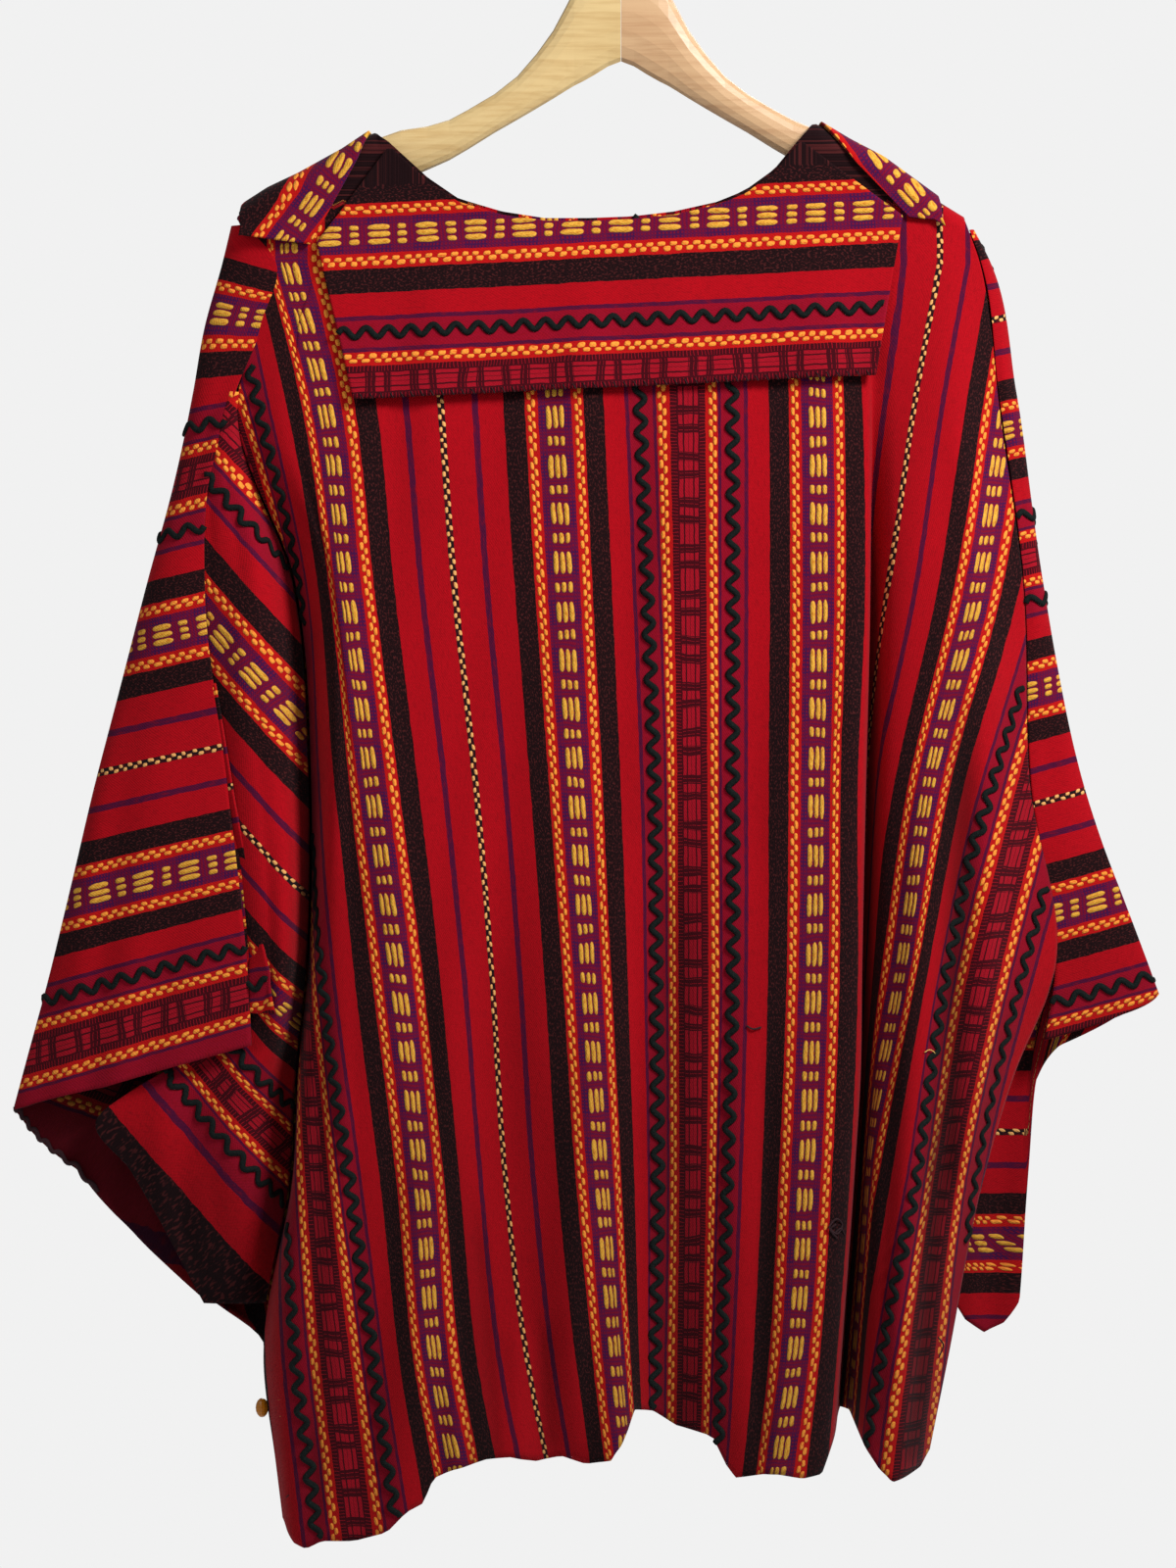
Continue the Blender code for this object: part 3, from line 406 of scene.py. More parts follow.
def front_depth(share, down):
    """The front's depth at a share of the way across it, from its left edge."""
    middle = at_heights(FRONT_DEPTH_HEIGHTS, FRONT_DEPTH, down)
    rise = at_heights(FRONT_DEPTH_HEIGHTS, FRONT_FOLD, down)
    folds = rise * np.cos(2 * math.pi * (FRONT_FOLDS * share + 0.2))
    inside = np.sqrt(np.clip(1 - np.abs(2 * share - 1) ** 3.0, 0, 1))
    past = eased(down, *UNDERARM)
    seam_left = at_heights(SLEEVE_DEPTH_HEIGHTS, SLEEVE_FRONT_DEPTH, down)
    seam_right = -at_heights(RIGHT_DEPTH_HEIGHTS, RIGHT_DEPTH["front_seam"], down)
    side_left = JOIN - back_depth(np.zeros(down.shape), down)
    side_right = JOIN - back_depth(np.full(down.shape, BACK_PLACES[-1]), down)
    edge = np.where(share < 0.5, between(seam_left, side_left, past), between(seam_right, side_right, past))
    return edge + (middle + folds - edge) * inside


def neck_scoop(across):
    """How far the front's neck lies below the back's top edge, round a deep scoop."""
    middle = (NECK_LEFT + NECK_RIGHT) / 2
    half = (NECK_RIGHT - NECK_LEFT) / 2
    inside = np.clip(1 - ((across - middle) / half) ** 2, 0, 1)
    shoulder_line = np.interp(across, (NECK_LEFT, NECK_RIGHT), (181, 175))
    return np.maximum(from_pairs(TOP_EDGE, across), shoulder_line + SCOOP * inside**0.8)


def stacked(across, depth, down):
    return np.stack(np.broadcast_arrays(across, -depth, -down), axis=-1).astype(float)


def wing_sides(down):
    left = at_heights(WING_HEIGHTS, WING_LEFT, down) + SEAM
    right = back_across(np.zeros(down.shape), down) - between(2 * SEAM, FOLD_GAP, eased(down, 352, 420))
    return left, right


def wing_depth(share, down):
    return lofted(WING_PLACES, WING_DEPTH_HEIGHTS, WING_DEPTH, share, down)


def folded_edge(inner, edge, turn):
    """Distance across where a sleeve bends round its outer edge: turn is 0 at the edge, 1 at the seam."""
    return edge + (inner - edge) * (0.35 * turn + 0.65 * (1 - np.cos(turn * math.pi / 2)))


def folded_depth(depth, turn):
    return depth * np.sin(turn * math.pi / 2) ** 0.8


def left_sleeve_point(place, down):
    """The left sleeve's panel: 0 at the back seam, 1 at the outer fold and 2 at the front seam."""
    seam = at_heights(SLEEVE_HEIGHTS, LEFT_SEAM, down) - SEAM
    edge = at_heights(SLEEVE_HEIGHTS, LEFT_EDGE, down)
    front = at_heights(SLEEVE_HEIGHTS, LEFT_FRONT, down) - 2 * SEAM
    turn = np.abs(1 - place)
    across = folded_edge(np.where(place < 1, seam, front) + SEAM_REACH, edge, turn)
    back = at_heights(SLEEVE_DEPTH_HEIGHTS, SLEEVE_DEPTH, down)
    fore = -at_heights(SLEEVE_DEPTH_HEIGHTS, SLEEVE_FRONT_DEPTH, down)
    return across, folded_depth(np.where(place < 1, back, fore), turn)


def raised(points, lift):
    """The grid of points moved out from the cloth that it lies on, away from the hanger's plane."""
    return points + outward(points) * lift


def between(start, end, share):
    return start + (end - start) * share


def on_front(across, down):
    """The depth of a point on the front's shoulder."""
    held = np.maximum(down, TABLES_START)
    share = place_at(across, lambda share: front_across(share, held), 0, 1)
    return over_shoulder(across, down, front_depth(share, held))


def wave(across, down):
    """The cloth's small unevenness at a place, in millimetres."""
    height = np.zeros(np.broadcast(across, down).shape)
    for length_across, length_down, rise, start in RIPPLES:
        bend = 1.7 * np.sin(down / 173.0 + start)
        turns = across / length_across + down / length_down
        height = height + rise * np.sin(2 * math.pi * turns + start + bend)
    return height


def creased(across, down, creases):
    """The rise of the creases at a place: each a soft ridge or trough that fades at both ends."""
    height = np.zeros(np.broadcast(across, down).shape)
    for across_start, down_start, across_end, down_end, half, rise in creases:
        run = np.array((across_end - across_start, down_end - down_start), float)
        length = np.hypot(*run)
        run /= length
        along = ((across - across_start) * run[0] + (down - down_start) * run[1]) / length
        aside = (across - across_start) * run[1] - (down - down_start) * run[0]
        fade = np.clip(along / 0.25, 0, 1) * np.clip((1 - along) / 0.12 + 0.6, 0, 1)
        height = height + rise * fade**1.5 * np.exp(-((aside / half) ** 2))
    return height


def finely(values, count):
    """The same spacing as a short list of values, at more places."""
    return np.interp(np.linspace(0, len(values) - 1, count), np.arange(len(values)), values)


def travelled(points, axis):
    """The distance walked over the cloth along one axis of its grid."""
    step = np.linalg.norm(np.diff(points, axis=axis), axis=-1)
    start = np.zeros_like(np.take(step, [0], axis=axis))
    return np.cumsum(np.concatenate([start, step], axis=axis), axis=axis)


def read_lines(lines, heights, across, down):
    """How far across the weave a place lies, read between the stripes' lines at its height."""
    marks = np.array(sorted(lines), float)
    places = np.stack([smooth(heights, lines[mark], down.ravel()) for mark in sorted(lines)], axis=1)
    across = across.ravel()
    found = np.empty(across.shape)
    for index in range(len(marks) - 1):
        low, high = places[:, index], places[:, index + 1]
        inside = across >= low if index else np.ones(across.shape, bool)
        share = (across - low) / (high - low)
        found[inside] = (marks[index] + (marks[index + 1] - marks[index]) * share)[inside]
    return found.reshape(down.shape)


def unit(vectors):
    return vectors / np.maximum(np.linalg.norm(vectors, axis=-1, keepdims=True), 1e-9)


def outward(points):
    """Unit normals of a grid of points, away from the hanger's plane on the back's side."""
    return unit(np.cross(np.gradient(points, axis=0), np.gradient(points, axis=1)))


# Fine panels. Each gives its points, and how far across and along the weave each of them lies.


def fine_hung(top, bottom, count):
    near = np.array((0.2, 0.6, 1.2, 2.0, 3.2, 4.8, 6.6, 8.6, 11.0))[:, None]
    even = np.linspace(0, 1, count)[1:, None] ** 1.1
    return np.concatenate([top + near, top + near[-1] + (bottom - top - near[-1]) * even])


def at_edges(place, low, high, width):
    """1 inside a panel, falling to 0 at its side edges."""
    return eased(place, low, low + width) * (1 - eased(place, high - width, high))


def back_small(place, across, down):
    inside = at_edges(place, 0, BACK_PLACES[-1], 0.9) * eased(down, 240, 330)
    lively = 1 + LOWER_WAVES * eased(down, 560, 960)
    return inside * (lively * wave(across, down) + creased(across, down, BACK_CREASES))


def fine_back():
    place = finely(BACK_COLUMNS, 232)[None, :]
    hem = from_pairs(BACK_HEM, back_across(place, BACK_LENGTH))
    top = from_pairs(TOP_EDGE, back_across(place, TABLES_START))
    down = fine_hung(top, hem, 186)
    held = np.maximum(down, TABLES_START)
    across = back_across(place, held)
    place = np.broadcast_to(place, down.shape)
    depth = over_shoulder(across, down, back_depth(place, held) + back_small(place, across, down))
    points = stacked(across, depth, down)
    main = read_lines(BACK_STRIPES, STRIPE_HEIGHTS, across, down)
    wing = read_lines(WING_STRIPES, STRIPE_HEIGHTS, across, down)
    first = np.argmin(np.abs(place[0] - RIM_RIGHT))
    last = np.argmin(np.abs(place[0] - WING_RIM))
    walked = travelled(points, 1)
    in_fold = (walked - walked[:, first:first + 1]) / (walked[:, last:last + 1] - walked[:, first:first + 1])
    between_rims = between(main[:, first:first + 1], wing[:, last:last + 1], in_fold)
    weave = np.where(place < RIM_RIGHT, main, np.where(place > WING_RIM, wing, between_rims))
    weave = np.where(down < NECK_DARK, DARK_PLACE, weave)
    return points, weave, down


def left_seam(down):
    return at_heights(SLEEVE_HEIGHTS, LEFT_SEAM, down)


def fine_wing():
    heights = np.linspace(FINE_WING_TOP, WING_BOTTOM, 170)
    down, share = np.meshgrid(heights, np.linspace(0, 1, 64), indexing="ij")
    left, right = wing_sides(down)
    left = np.minimum(left, np.where(down < BESIDE_SLEEVE, left_seam(down) - WALL, left))
    across = between(left, right, share)
    small = at_edges(share, 0, 1, 0.2) * 1.3 * wave(across * 1.4, down)
    points = stacked(across, wing_depth(share, down) + small, down)
    met = down + LEFT_WING_SLOPE * (LEFT_FOLD_ACROSS - across)
    weave = from_pairs(LEFT_WING_STRIPES, met)
    return points, weave, 0.66 * across + 0.75 * down


def fine_front():
    share = finely(FRONT_SHARES, 190)[None, :]
    level = np.full(share.shape, TABLES_START)
    top = neck_scoop(front_across(share, level))
    hem = from_pairs(FRONT_HEM, front_across(share, level + FRONT_LENGTH))
    down = fine_hung(top, hem, 170)
    share = np.broadcast_to(share, down.shape)
    held = np.maximum(down, TABLES_START)
    across = front_across(share, held)
    small = at_edges(share, 0, 1, 0.1) * eased(down, 300, 400) * 1.6 * wave(across + 400, down + 200)
    depth = over_shoulder(across, down, front_depth(share, held) + small)
    points = stacked(across, -depth, down)
    walked = travelled(points, 1)
    middle = walked[:, walked.shape[1] // 2][:, None]
    return points, HALF + walked - middle, down


def fine_left_sleeve():
    coarse = np.concatenate([np.linspace(0, 0.8, 7), [0.9, 0.96, 1.0, 1.04, 1.1], np.linspace(1.2, 2, 7)])
    place = finely(coarse, 133)[None, :]
    bottom = from_pairs(LEFT_CUFF, place)
    down = LEFT_TOP + (bottom - LEFT_TOP) * np.linspace(0, 1, 190)[:, None] ** 1.05
    place = np.broadcast_to(place, down.shape)
    across, depth = left_sleeve_point(place, down)
    inside = at_edges(place, 0, 2, 0.35) * eased(down, 250, 330)
    depth = depth + inside * 1.2 * wave(down * 0.5, across * 6)
    points = stacked(across, depth, down)
    edge = at_heights(SLEEVE_HEIGHTS, LEFT_EDGE, down)
    flat = np.where(place > 1, 2 * edge - across, across)
    slope = from_pairs(LEFT_SLEEVE_SLOPE, down)
    weave = from_pairs(LEFT_SLEEVE_STRIPES, down - slope * (flat - from_pairs(LEFT_SLEEVE_MIDDLE, down)))
    return points, weave, travelled(points, 1)


def fine_tuck():
    share, down = np.meshgrid(np.linspace(0, 1, 16), np.linspace(TUCK_HEIGHTS[0], TUCK_BOTTOM, 90))
    left, right = wing_sides(down)
    start = left_seam(down) - 1.0
    width = at_heights(TUCK_HEIGHTS, TUCK_WIDTHS, down) + 1.5
    across = start + width * share
    on_wing = np.clip((across - left) / (right - left), 0, 1)
    small = at_edges(on_wing, 0, 1, 0.2) * 1.3 * wave(across * 1.4, down)
    points = raised(stacked(across, wing_depth(on_wing, down) + small, down), WALL + 3 * LAP)
    slope = from_pairs(LEFT_SLEEVE_SLOPE, down)
    met = down - TUCK_SHIFT[0] - slope * (across - from_pairs(LEFT_SLEEVE_MIDDLE, down))
    return points, from_pairs(LEFT_SLEEVE_STRIPES, met), travelled(points, 1) + TUCK_SHIFT[1]


def fine_right_sleeve():
    coarse = [np.linspace(0, 0.7, 4), [0.84, 0.94, 1.0, 1.05, 1.12, 1.24], np.linspace(1.4, 3.6, 12)]
    place = finely(np.concatenate(coarse), 168)[None, :]
    bottom = from_pairs(RIGHT_CUFF, place)
    down = RIGHT_TOP + (bottom - RIGHT_TOP) * np.linspace(0, 1, 190)[:, None]
    place = np.broadcast_to(place, down.shape)
    seam, edge, outer = (
        at_heights(RIGHT_HEIGHTS, RIGHT_ACROSS[fold], down) for fold in ("seam", "edge", "front_outer")
    )
    seam_depth, outer_depth = (
        at_heights(RIGHT_DEPTH_HEIGHTS, RIGHT_DEPTH[fold], down) for fold in ("seam", "front_outer")
    )
    turn = np.where(place < 1, 1 - place, np.clip((place - 1) / (RIGHT_PLACES[2] - 1), 0, 1))
    near = place < RIGHT_PLACES[2]
    inner = np.where(place < 1, seam + 4 * SEAM, outer)
    across = np.where(near, folded_edge(inner, edge, turn),
                      lofted(RIGHT_PLACES, RIGHT_HEIGHTS, RIGHT_ACROSS, place, down))
    depth = np.where(near, folded_depth(np.where(place < 1, seam_depth, outer_depth), turn),
                     lofted(RIGHT_PLACES, RIGHT_DEPTH_HEIGHTS, RIGHT_DEPTH, place, down))
    inside = at_edges(place, 0, 3.6, 0.4) * eased(down, 250, 330)
    points = stacked(across, depth + inside * 0.9 * wave(down * 0.5, across * 6), down)
    met = down - RIGHT_SLEEVE["slope"] * (across - RIGHT_SLEEVE["at"])
    own = RIGHT_SLEEVE["stretch"] * (met - RIGHT_SLEEVE["yellow"])
    weave = between(own, down - RIGHT_SLEEVE["end_yellow"], eased(place, 1.2, 2.5))
    return points, weave, travelled(points, 1)


def on_fine_back(across, down):
    """The depth of the back where the collar lies on it, level over the hollows beside the right ridge."""
    held = np.maximum(down, TABLES_START)
    level = at_heights(BACK_DEPTH_HEIGHTS, BACK_DEPTH["ridge_right"], down)
    place = back_place(across, held)
    depth = np.maximum(back_depth(place, held), level) + back_small(place, across, down)
    return over_shoulder(across, down, depth)


def fine_flap():
    share, fall = np.meshgrid(np.linspace(0, 1, 210), np.linspace(0, 2, 100))
    neck = between(FLAP_NECK[0][0], FLAP_NECK[1][0], share)
    neck_down = np.maximum(from_pairs(TOP_EDGE, neck) + 2.5, between(FLAP_NECK[0][1], FLAP_NECK[1][1], share))
    corner = between(FLAP_CORNERS[0][0], FLAP_CORNERS[1][0], share)
    sag = FLAP_SAG * np.sin(math.pi * share) ** 0.6
    corner_down = between(FLAP_CORNERS[0][1], FLAP_CORNERS[1][1], share) + sag
    low = between(FLAP_LOW[0][0], FLAP_LOW[1][0], share)
    low_down = between(FLAP_LOW[0][1], FLAP_LOW[1][1], share)
    upper, lower = np.clip(fall, 0, 1), np.clip(fall - 1, 0, 1)
    across = between(between(neck, corner, upper), low, lower)
    down = between(between(neck_down, corner_down, upper), low_down, lower)
    depth = on_fine_back(across, down) + FLAP_LIFT * lower**2
    points = raised(stacked(across, depth, down), WALL + 2 * LAP)
    met = down - FLAP_YELLOW["slope"] * (across - FLAP_YELLOW["at"]) - FLAP_YELLOW["down"]
    return points, from_pairs(FLAP_STRIPES, met), across


def fine_band(name):
    sizes = BANDS[name]
    width = np.linspace(0, 1, 60)[None, :]
    ridge = between(sizes["neck"], sizes["outer"], width)
    top = from_pairs(TOP_EDGE, ridge)
    low = between(sizes["corner"][0], sizes["outer_corner"][0], width)
    low_down = between(sizes["corner"][1], sizes["outer_corner"][1], width)
    reach = finely((1, 0.8, 0.6, 0.45, 0.3, 0.18, 0.09, 0.035, 0.01), 70)[:, None]
    across = between(ridge, low, reach)
    line = between(top, low_down, reach)
    down = np.maximum(line, from_pairs(TOP_EDGE, across) + SHOULDER * reach * 1.4)
    back = stacked(across, on_fine_back(across, down), down)
    fall = finely((0.4, 1.5, 3.5, 6.5, 11, 24, 38, 54, BAND_FRONT_LENGTH), 60)[:, None]
    front_across_at = ridge + np.zeros(fall.shape)
    front_down = top + fall
    front = stacked(front_across_at, -on_front(front_across_at, front_down), front_down)
    points = np.concatenate([back, front])
    side = 1 if sizes["outer"] < 0 else -1
    marks = BAND_STRIPES[name]
    out, along = marks["out"], marks["along"]
    away = (across - marks["across"]) * out[0] + (down - marks["down"]) * out[1]
    away_front = away[-1] * (1 + fall / BAND_FRONT_LENGTH)
    run = (across - marks["across"]) * along[0] + (down - marks["down"]) * along[1]
    run_front = run[-1] - fall
    weave = BAND_CHAIN - np.concatenate([away, away_front])
    return raised(points, side * (WALL + 2 * LAP)), weave, np.concatenate([run, run_front])


# Meshes.


def painted_shade(name, points):
    """Painted shade: how light each point of a panel is kept, darker low down and in deep creases, where shade
    falls.
    """
    across, down = points[..., 0], -points[..., 2]
    kept = 1 - LOW_SHADE * eased(down, 480, 1000)
    if name == "back_cloth":
        kept = kept - CREASE_SHADE * np.maximum(-creased(across, down, BACK_CREASES), 0)
    return np.maximum(kept, DARKEST)


def shell(name, made, side, thickness):
    """A panel of cloth with its place in the weave and its painted shade stored on its points."""
    points, weave, along = made
    rows, columns = points.shape[:2]
    mesh = bpy.data.meshes.new(name)
    corners = (points.reshape(-1, 3) * MM).tolist()
    index = np.arange(rows * columns).reshape(rows, columns)
    quads = np.stack([index[:-1, :-1], index[1:, :-1], index[1:, 1:], index[:-1, 1:]], axis=-1).reshape(-1, 4)
    mesh.from_pydata(corners, [], quads.tolist())
    place = mesh.attributes.new("weave", "FLOAT_VECTOR", "POINT")
    values = np.stack([weave, along, painted_shade(name, points)], axis=-1).astype(np.float32)
    place.data.foreach_set("vector", values.ravel())
    mesh.shade_smooth()
    panel = bpy.data.objects.new(name, mesh)
    bpy.context.scene.collection.objects.link(panel)
    inner = name != "sleeve_right_cloth"
    # the inner side is drawn in painted shade; the right sleeve's hanging end shows it in full light, so has none
    for reverse in (False, inner) if side > 0 else (inner, False):
        mesh.materials.append(wool(reverse))
    wall = panel.modifiers.new("wall", "SOLIDIFY")
    wall.material_offset = 1
    wall.thickness = thickness * MM
    wall.offset = 0
    return panel


def cord_runs(made, line, side):
    """The cord that is sewn in zigzags along one stripe: its middle line, and the cloth's normals there."""
    points, weave = made[:2]
    normal = outward(points) * side
    if np.abs(np.diff(weave, axis=0)).mean() > np.abs(np.diff(weave, axis=1)).mean():
        points, normal, weave = points.transpose(1, 0, 2), normal.transpose(1, 0, 2), weave.T
    stretches, current = [], []
    for share in np.arange(0, weave.shape[0] - 1, 0.5):
        row = int(share)
        rest = share - row
        across = between(weave[row], weave[row + 1], rest)
        order = np.argsort(across)
        across = across[order]
        if not across[0] + 1 < line < across[-1] - 1:
            stretches.append(current)
            current = []
            continue
        spot = between(points[row], points[row + 1], rest)[order]
        facing = between(normal[row], normal[row + 1], rest)[order]
        read = [np.interp(line, across, column) for column in (*spot.T, *facing.T)]
        current.append(read + [line - across[0], across[-1] - line])
    stretches.append(current)
    for stretch in stretches:
        if len(stretch) < 6:
            continue
        stretch = np.array(stretch)
        walked = travelled(stretch[:, :3], 0)
        even = np.arange(0, walked[-1], CORD_STEP)
        read = np.array([np.interp(even, walked, column) for column in stretch.T]).T
        facing = unit(read[:, 3:6])
        swing = ZIGZAG_HEIGHT / 2 * np.sin(2 * math.pi * even / ZIGZAG_PITCH)
        sideways = unit(np.cross(facing, np.gradient(read[:, :3], axis=0)))
        middle = read[:, :3] + sideways * swing[:, None] + facing * (WALL / 2 + CORD_RISE / 2)
        kept = np.flatnonzero(read[:, 6:].min(axis=1) > np.abs(swing) + 1)
        for run in np.split(kept, np.flatnonzero(np.diff(kept) > 1) + 1):
            if len(run) > 8:
                yield middle[run], facing[run]


def sew_cords(name, panels):
    """All the zigzag cords, joined: flat tubes laid along the cloth."""
    tubes = []
    for made, side in panels:
        low, high = made[1].min(), made[1].max()
        repeats = range(math.floor(low / REPEAT) - 1, math.ceil(high / REPEAT) + 1)
        for line in (repeat * REPEAT + place for repeat in repeats for place in ZIGZAG_LINES):
            if low < line < high:
                tubes += [(*run, CORD_WIDTH / 2, CORD_RISE) for run in cord_runs(made, line, side)]
    return tubes_mesh(name, tubes, cord_material())


def tubes_mesh(name, tubes, material):
    """Closed tubes, joined: for each its middle line, the way it faces, and half its width and its height."""
    corners, faces = [], []
    around = np.linspace(0, 2 * math.pi, 6, endpoint=False)
    count = len(around)
    for middle, facing, half_width, half_height in tubes:
        sideways = unit(np.cross(facing, np.gradient(middle, axis=0)))
        start = len(corners)
        for spot, out, aside in zip(middle, facing, sideways):
            for angle in around:
                offset = aside * math.cos(angle) * half_width + out * math.sin(angle) * half_height
                corners.append(tuple((spot + offset) * MM))
        for ring in range(len(middle) - 1):
            for first in range(count):
                second = (first + 1) % count
                base = start + ring * count
                faces.append((base + first, base + second, base + count + second, base + count + first))
        faces.append(tuple(start + index for index in range(count))[::-1])
        end = start + (len(middle) - 1) * count
        faces.append(tuple(end + index for index in range(count)))
    mesh = bpy.data.meshes.new(name)
    mesh.from_pydata(corners, [], faces)
    mesh.shade_smooth()
    joined = bpy.data.objects.new(name, mesh)
    bpy.context.scene.collection.objects.link(joined)
    mesh.materials.append(material)
    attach(joined, "root")
    return joined


def facing_out(middle):
    return np.broadcast_to((0.0, -1.0, 0.0), middle.shape)


def loose_thread(path, radius, lift=0.6):
    """A thin thread on the back, through places given as across, down and how far it stands off the cloth."""
    path = np.array(path, float)
    even = np.linspace(0, len(path) - 1, 6 * len(path))
    across, down, off = (smooth(np.arange(len(path)), path[:, axis], even) for axis in range(3))
    place = back_place(across, down)
    depth = back_depth(place, down) + back_small(place, across, down) + WALL / 2 + lift + off
    middle = stacked(across, depth, down)
    return middle, facing_out(middle), radius, radius


def sew_details():
    """The knot, loose ends, stitches along the flap's lower edge, the cuff's edging and the bead's thread."""
    dark = [loose_thread(path, DARK_THREAD) for path in DARK_THREADS]
    for across in np.arange(FLAP_LOW[0][0] + 4, FLAP_LOW[1][0] - 2, STITCH_PITCH):
        down = np.interp(across, *zip(*FLAP_LOW))
        steps = np.linspace(0, 1, 5)
        places = across + 2.0 * steps, down - 3.4 * (1 - steps)
        depth = on_fine_back(*places) + FLAP_LIFT + 1.5 * WALL + 2 * LAP + 0.1
        middle = stacked(places[0], depth, places[1])
        dark.append((middle, facing_out(middle), STITCH, STITCH))
    place = np.linspace(1.0, 1.6, 70)
    down = from_pairs(LEFT_CUFF, place) - 1.8 + 1.5 * np.sin(np.linspace(0, 14 * math.pi, 70))
    across, depth = left_sleeve_point(place, down)
    middle = stacked(across, depth + WALL / 2 + 0.8, down)
    dark.append((middle, facing_out(middle), *EDGING))
    tubes_mesh("dark_threads", dark, plain("dark thread", linear(40, 6, 14), 0.9))
    pale = [loose_thread(path, PALE_THREAD) for path in PALE_THREADS]
    tubes_mesh("pale_threads", pale, plain("pale thread", linear(226, 178, 90), 0.85))


# Materials. A Term is a node's output that can be added, multiplied and compared.


class Term:
    def __init__(self, tree, socket):
        self.tree = tree
        self.socket = socket

    def __rsub__(self, other):
        return calc("SUBTRACT", other, self)


OPERATORS = {
    "__add__": "ADD", "__radd__": "ADD", "__sub__": "SUBTRACT", "__mul__": "MULTIPLY", "__rmul__": "MULTIPLY",
    "__truediv__": "DIVIDE", "__lt__": "LESS_THAN", "__gt__": "GREATER_THAN", "__mod__": "FLOORED_MODULO",
    "__pow__": "POWER", "__abs__": "ABSOLUTE",
}
for operator, operation in OPERATORS.items():
    setattr(Term, operator, lambda self, *other, operation=operation: calc(operation, self, *other))


def feed(tree, value, socket):
    if isinstance(value, Term):
        tree.links.new(value.socket, socket)
    else:
        socket.default_value = value


def calc(kind, *values):
    tree = next(value.tree for value in values if isinstance(value, Term))
    node = tree.nodes.new("ShaderNodeMath")
    node.operation = kind
    for value, socket in zip(values, node.inputs):
        feed(tree, value, socket)
    return Term(tree, node.outputs[0])


def pick(choice, yes, no):
    """yes where the choice is 1, no where it is 0."""
    return no + choice * (yes - no) if isinstance(no, Term) else choice * (yes - no) + no


def fading(value, low, high):
    """0 below low, 1 above high and a soft step between."""
    node = value.tree.nodes.new("ShaderNodeMapRange")
    node.interpolation_type = "SMOOTHSTEP"
    for socket, amount in zip(node.inputs, (value, low, high, 0.0, 1.0)):
        feed(value.tree, amount, socket)
    return Term(value.tree, node.outputs[0])


def blob(aside, along, half_aside, half_along):
    """The height of a rounded stitch: 1 in its middle, 0 outside."""
    inside = 1 - ((aside / half_aside) ** 2 + (abs(along) / half_along) ** 4)
    return calc("MAXIMUM", inside, 0.0)


def painted(tree, base, colour, mask):
    node = tree.nodes.new("ShaderNodeMix")
    node.data_type = "RGBA"
    feed(tree, mask, node.inputs["Factor"])
    for value, socket in ((base, node.inputs[6]), (colour, node.inputs[7])):
        if isinstance(value, tuple):
            socket.default_value = value
        else:
            tree.links.new(value, socket)
    return node.outputs[2]


def linear(red, green, blue):
    """A colour as light, from its three numbers up to 255."""
    def each(value):
        value /= 255
        return value / 12.92 if value <= 0.04045 else ((value + 0.055) / 1.055) ** 2.4
    return (each(red), each(green), each(blue), 1.0)


YARN = {
    "red": linear(170, 2, 18),
    "red deep": linear(138, 0, 14),
    "dark": linear(25, 5, 8),
    "fleck": linear(92, 34, 34),
    "purple": linear(76, 8, 48),
    "violet": linear(60, 12, 66),
    "crimson": linear(142, 4, 32),
    "band": linear(118, 6, 40),
    "chain ground": linear(182, 14, 14),
    "orange": linear(252, 156, 58),
    "yellow": linear(228, 170, 62),
    "brick": linear(40, 0, 10),
    "brick ground": linear(156, 10, 30),
    "dot": linear(240, 176, 104),
    "black": linear(22, 14, 18),
    "cord": linear(5, 12, 11),
}
DARK_STRIPE = (18.2, 30.8)
NEAR_CHAIN, FAR_CHAIN, BRICK_START, DOT_LINE = 12.0, 63.5, 70.4, 69.0
# Where each colour starts, going out from the middle of a band of floats, in a zigzag half and a dotted half.
ZIGZAG_HALF = (
    (0, "band"), (10.2, "chain ground"), (DARK_STRIPE[0], "dark"), (DARK_STRIPE[1], "red"),
    (44.2, "purple"), (46.8, "crimson"), (60.8, "purple"), (62.8, "chain ground"),
    (BRICK_START, "brick ground"),
)
DOTTED_HALF = (
    (0, "band"), (10.2, "chain ground"), (DARK_STRIPE[0], "dark"), (31, "red"), (46.5, "purple"), (50, "red"),
    (66.7, "black"),
)
HALF = 80.5  # from the middle of a band of floats to the middle of the brick band
# painted shade: the inner side of the wool is drawn at this share of its brightness
REVERSE_SHADE = 0.3
# Repeats along the stripes: the yellow floats, the red blocks and the links of the chains.
FLOAT_BEAT, BRICK_BEAT, LINK = 29.8, 28.2, 7.1


def striped(tree, distance, stripes):
    ramp = tree.nodes.new("ShaderNodeValToRGB")
    ramp.color_ramp.interpolation = "CONSTANT"
    stops = ramp.color_ramp.elements
    stops.remove(stops[1])
    for index, (start, yarn) in enumerate(stripes):
        stop = stops[0] if index == 0 else stops.new(start / HALF)
        stop.position = start / HALF
        stop.color = YARN[yarn]
    feed(tree, distance / HALF, ramp.inputs[0])
    return ramp.outputs["Color"]


def noise(tree, vector, scale, detail=2.0):
    node = tree.nodes.new("ShaderNodeTexNoise")
    node.inputs["Scale"].default_value = scale
    node.inputs["Detail"].default_value = detail
    tree.links.new(vector, node.inputs["Vector"])
    return Term(tree, node.outputs["Fac"])


def stretched(tree, across, along):
    """A vector in the weave, each way at its own scale."""
    node = tree.nodes.new("ShaderNodeCombineXYZ")
    feed(tree, across, node.inputs[0])
    feed(tree, along, node.inputs[1])
    return node.outputs[0]


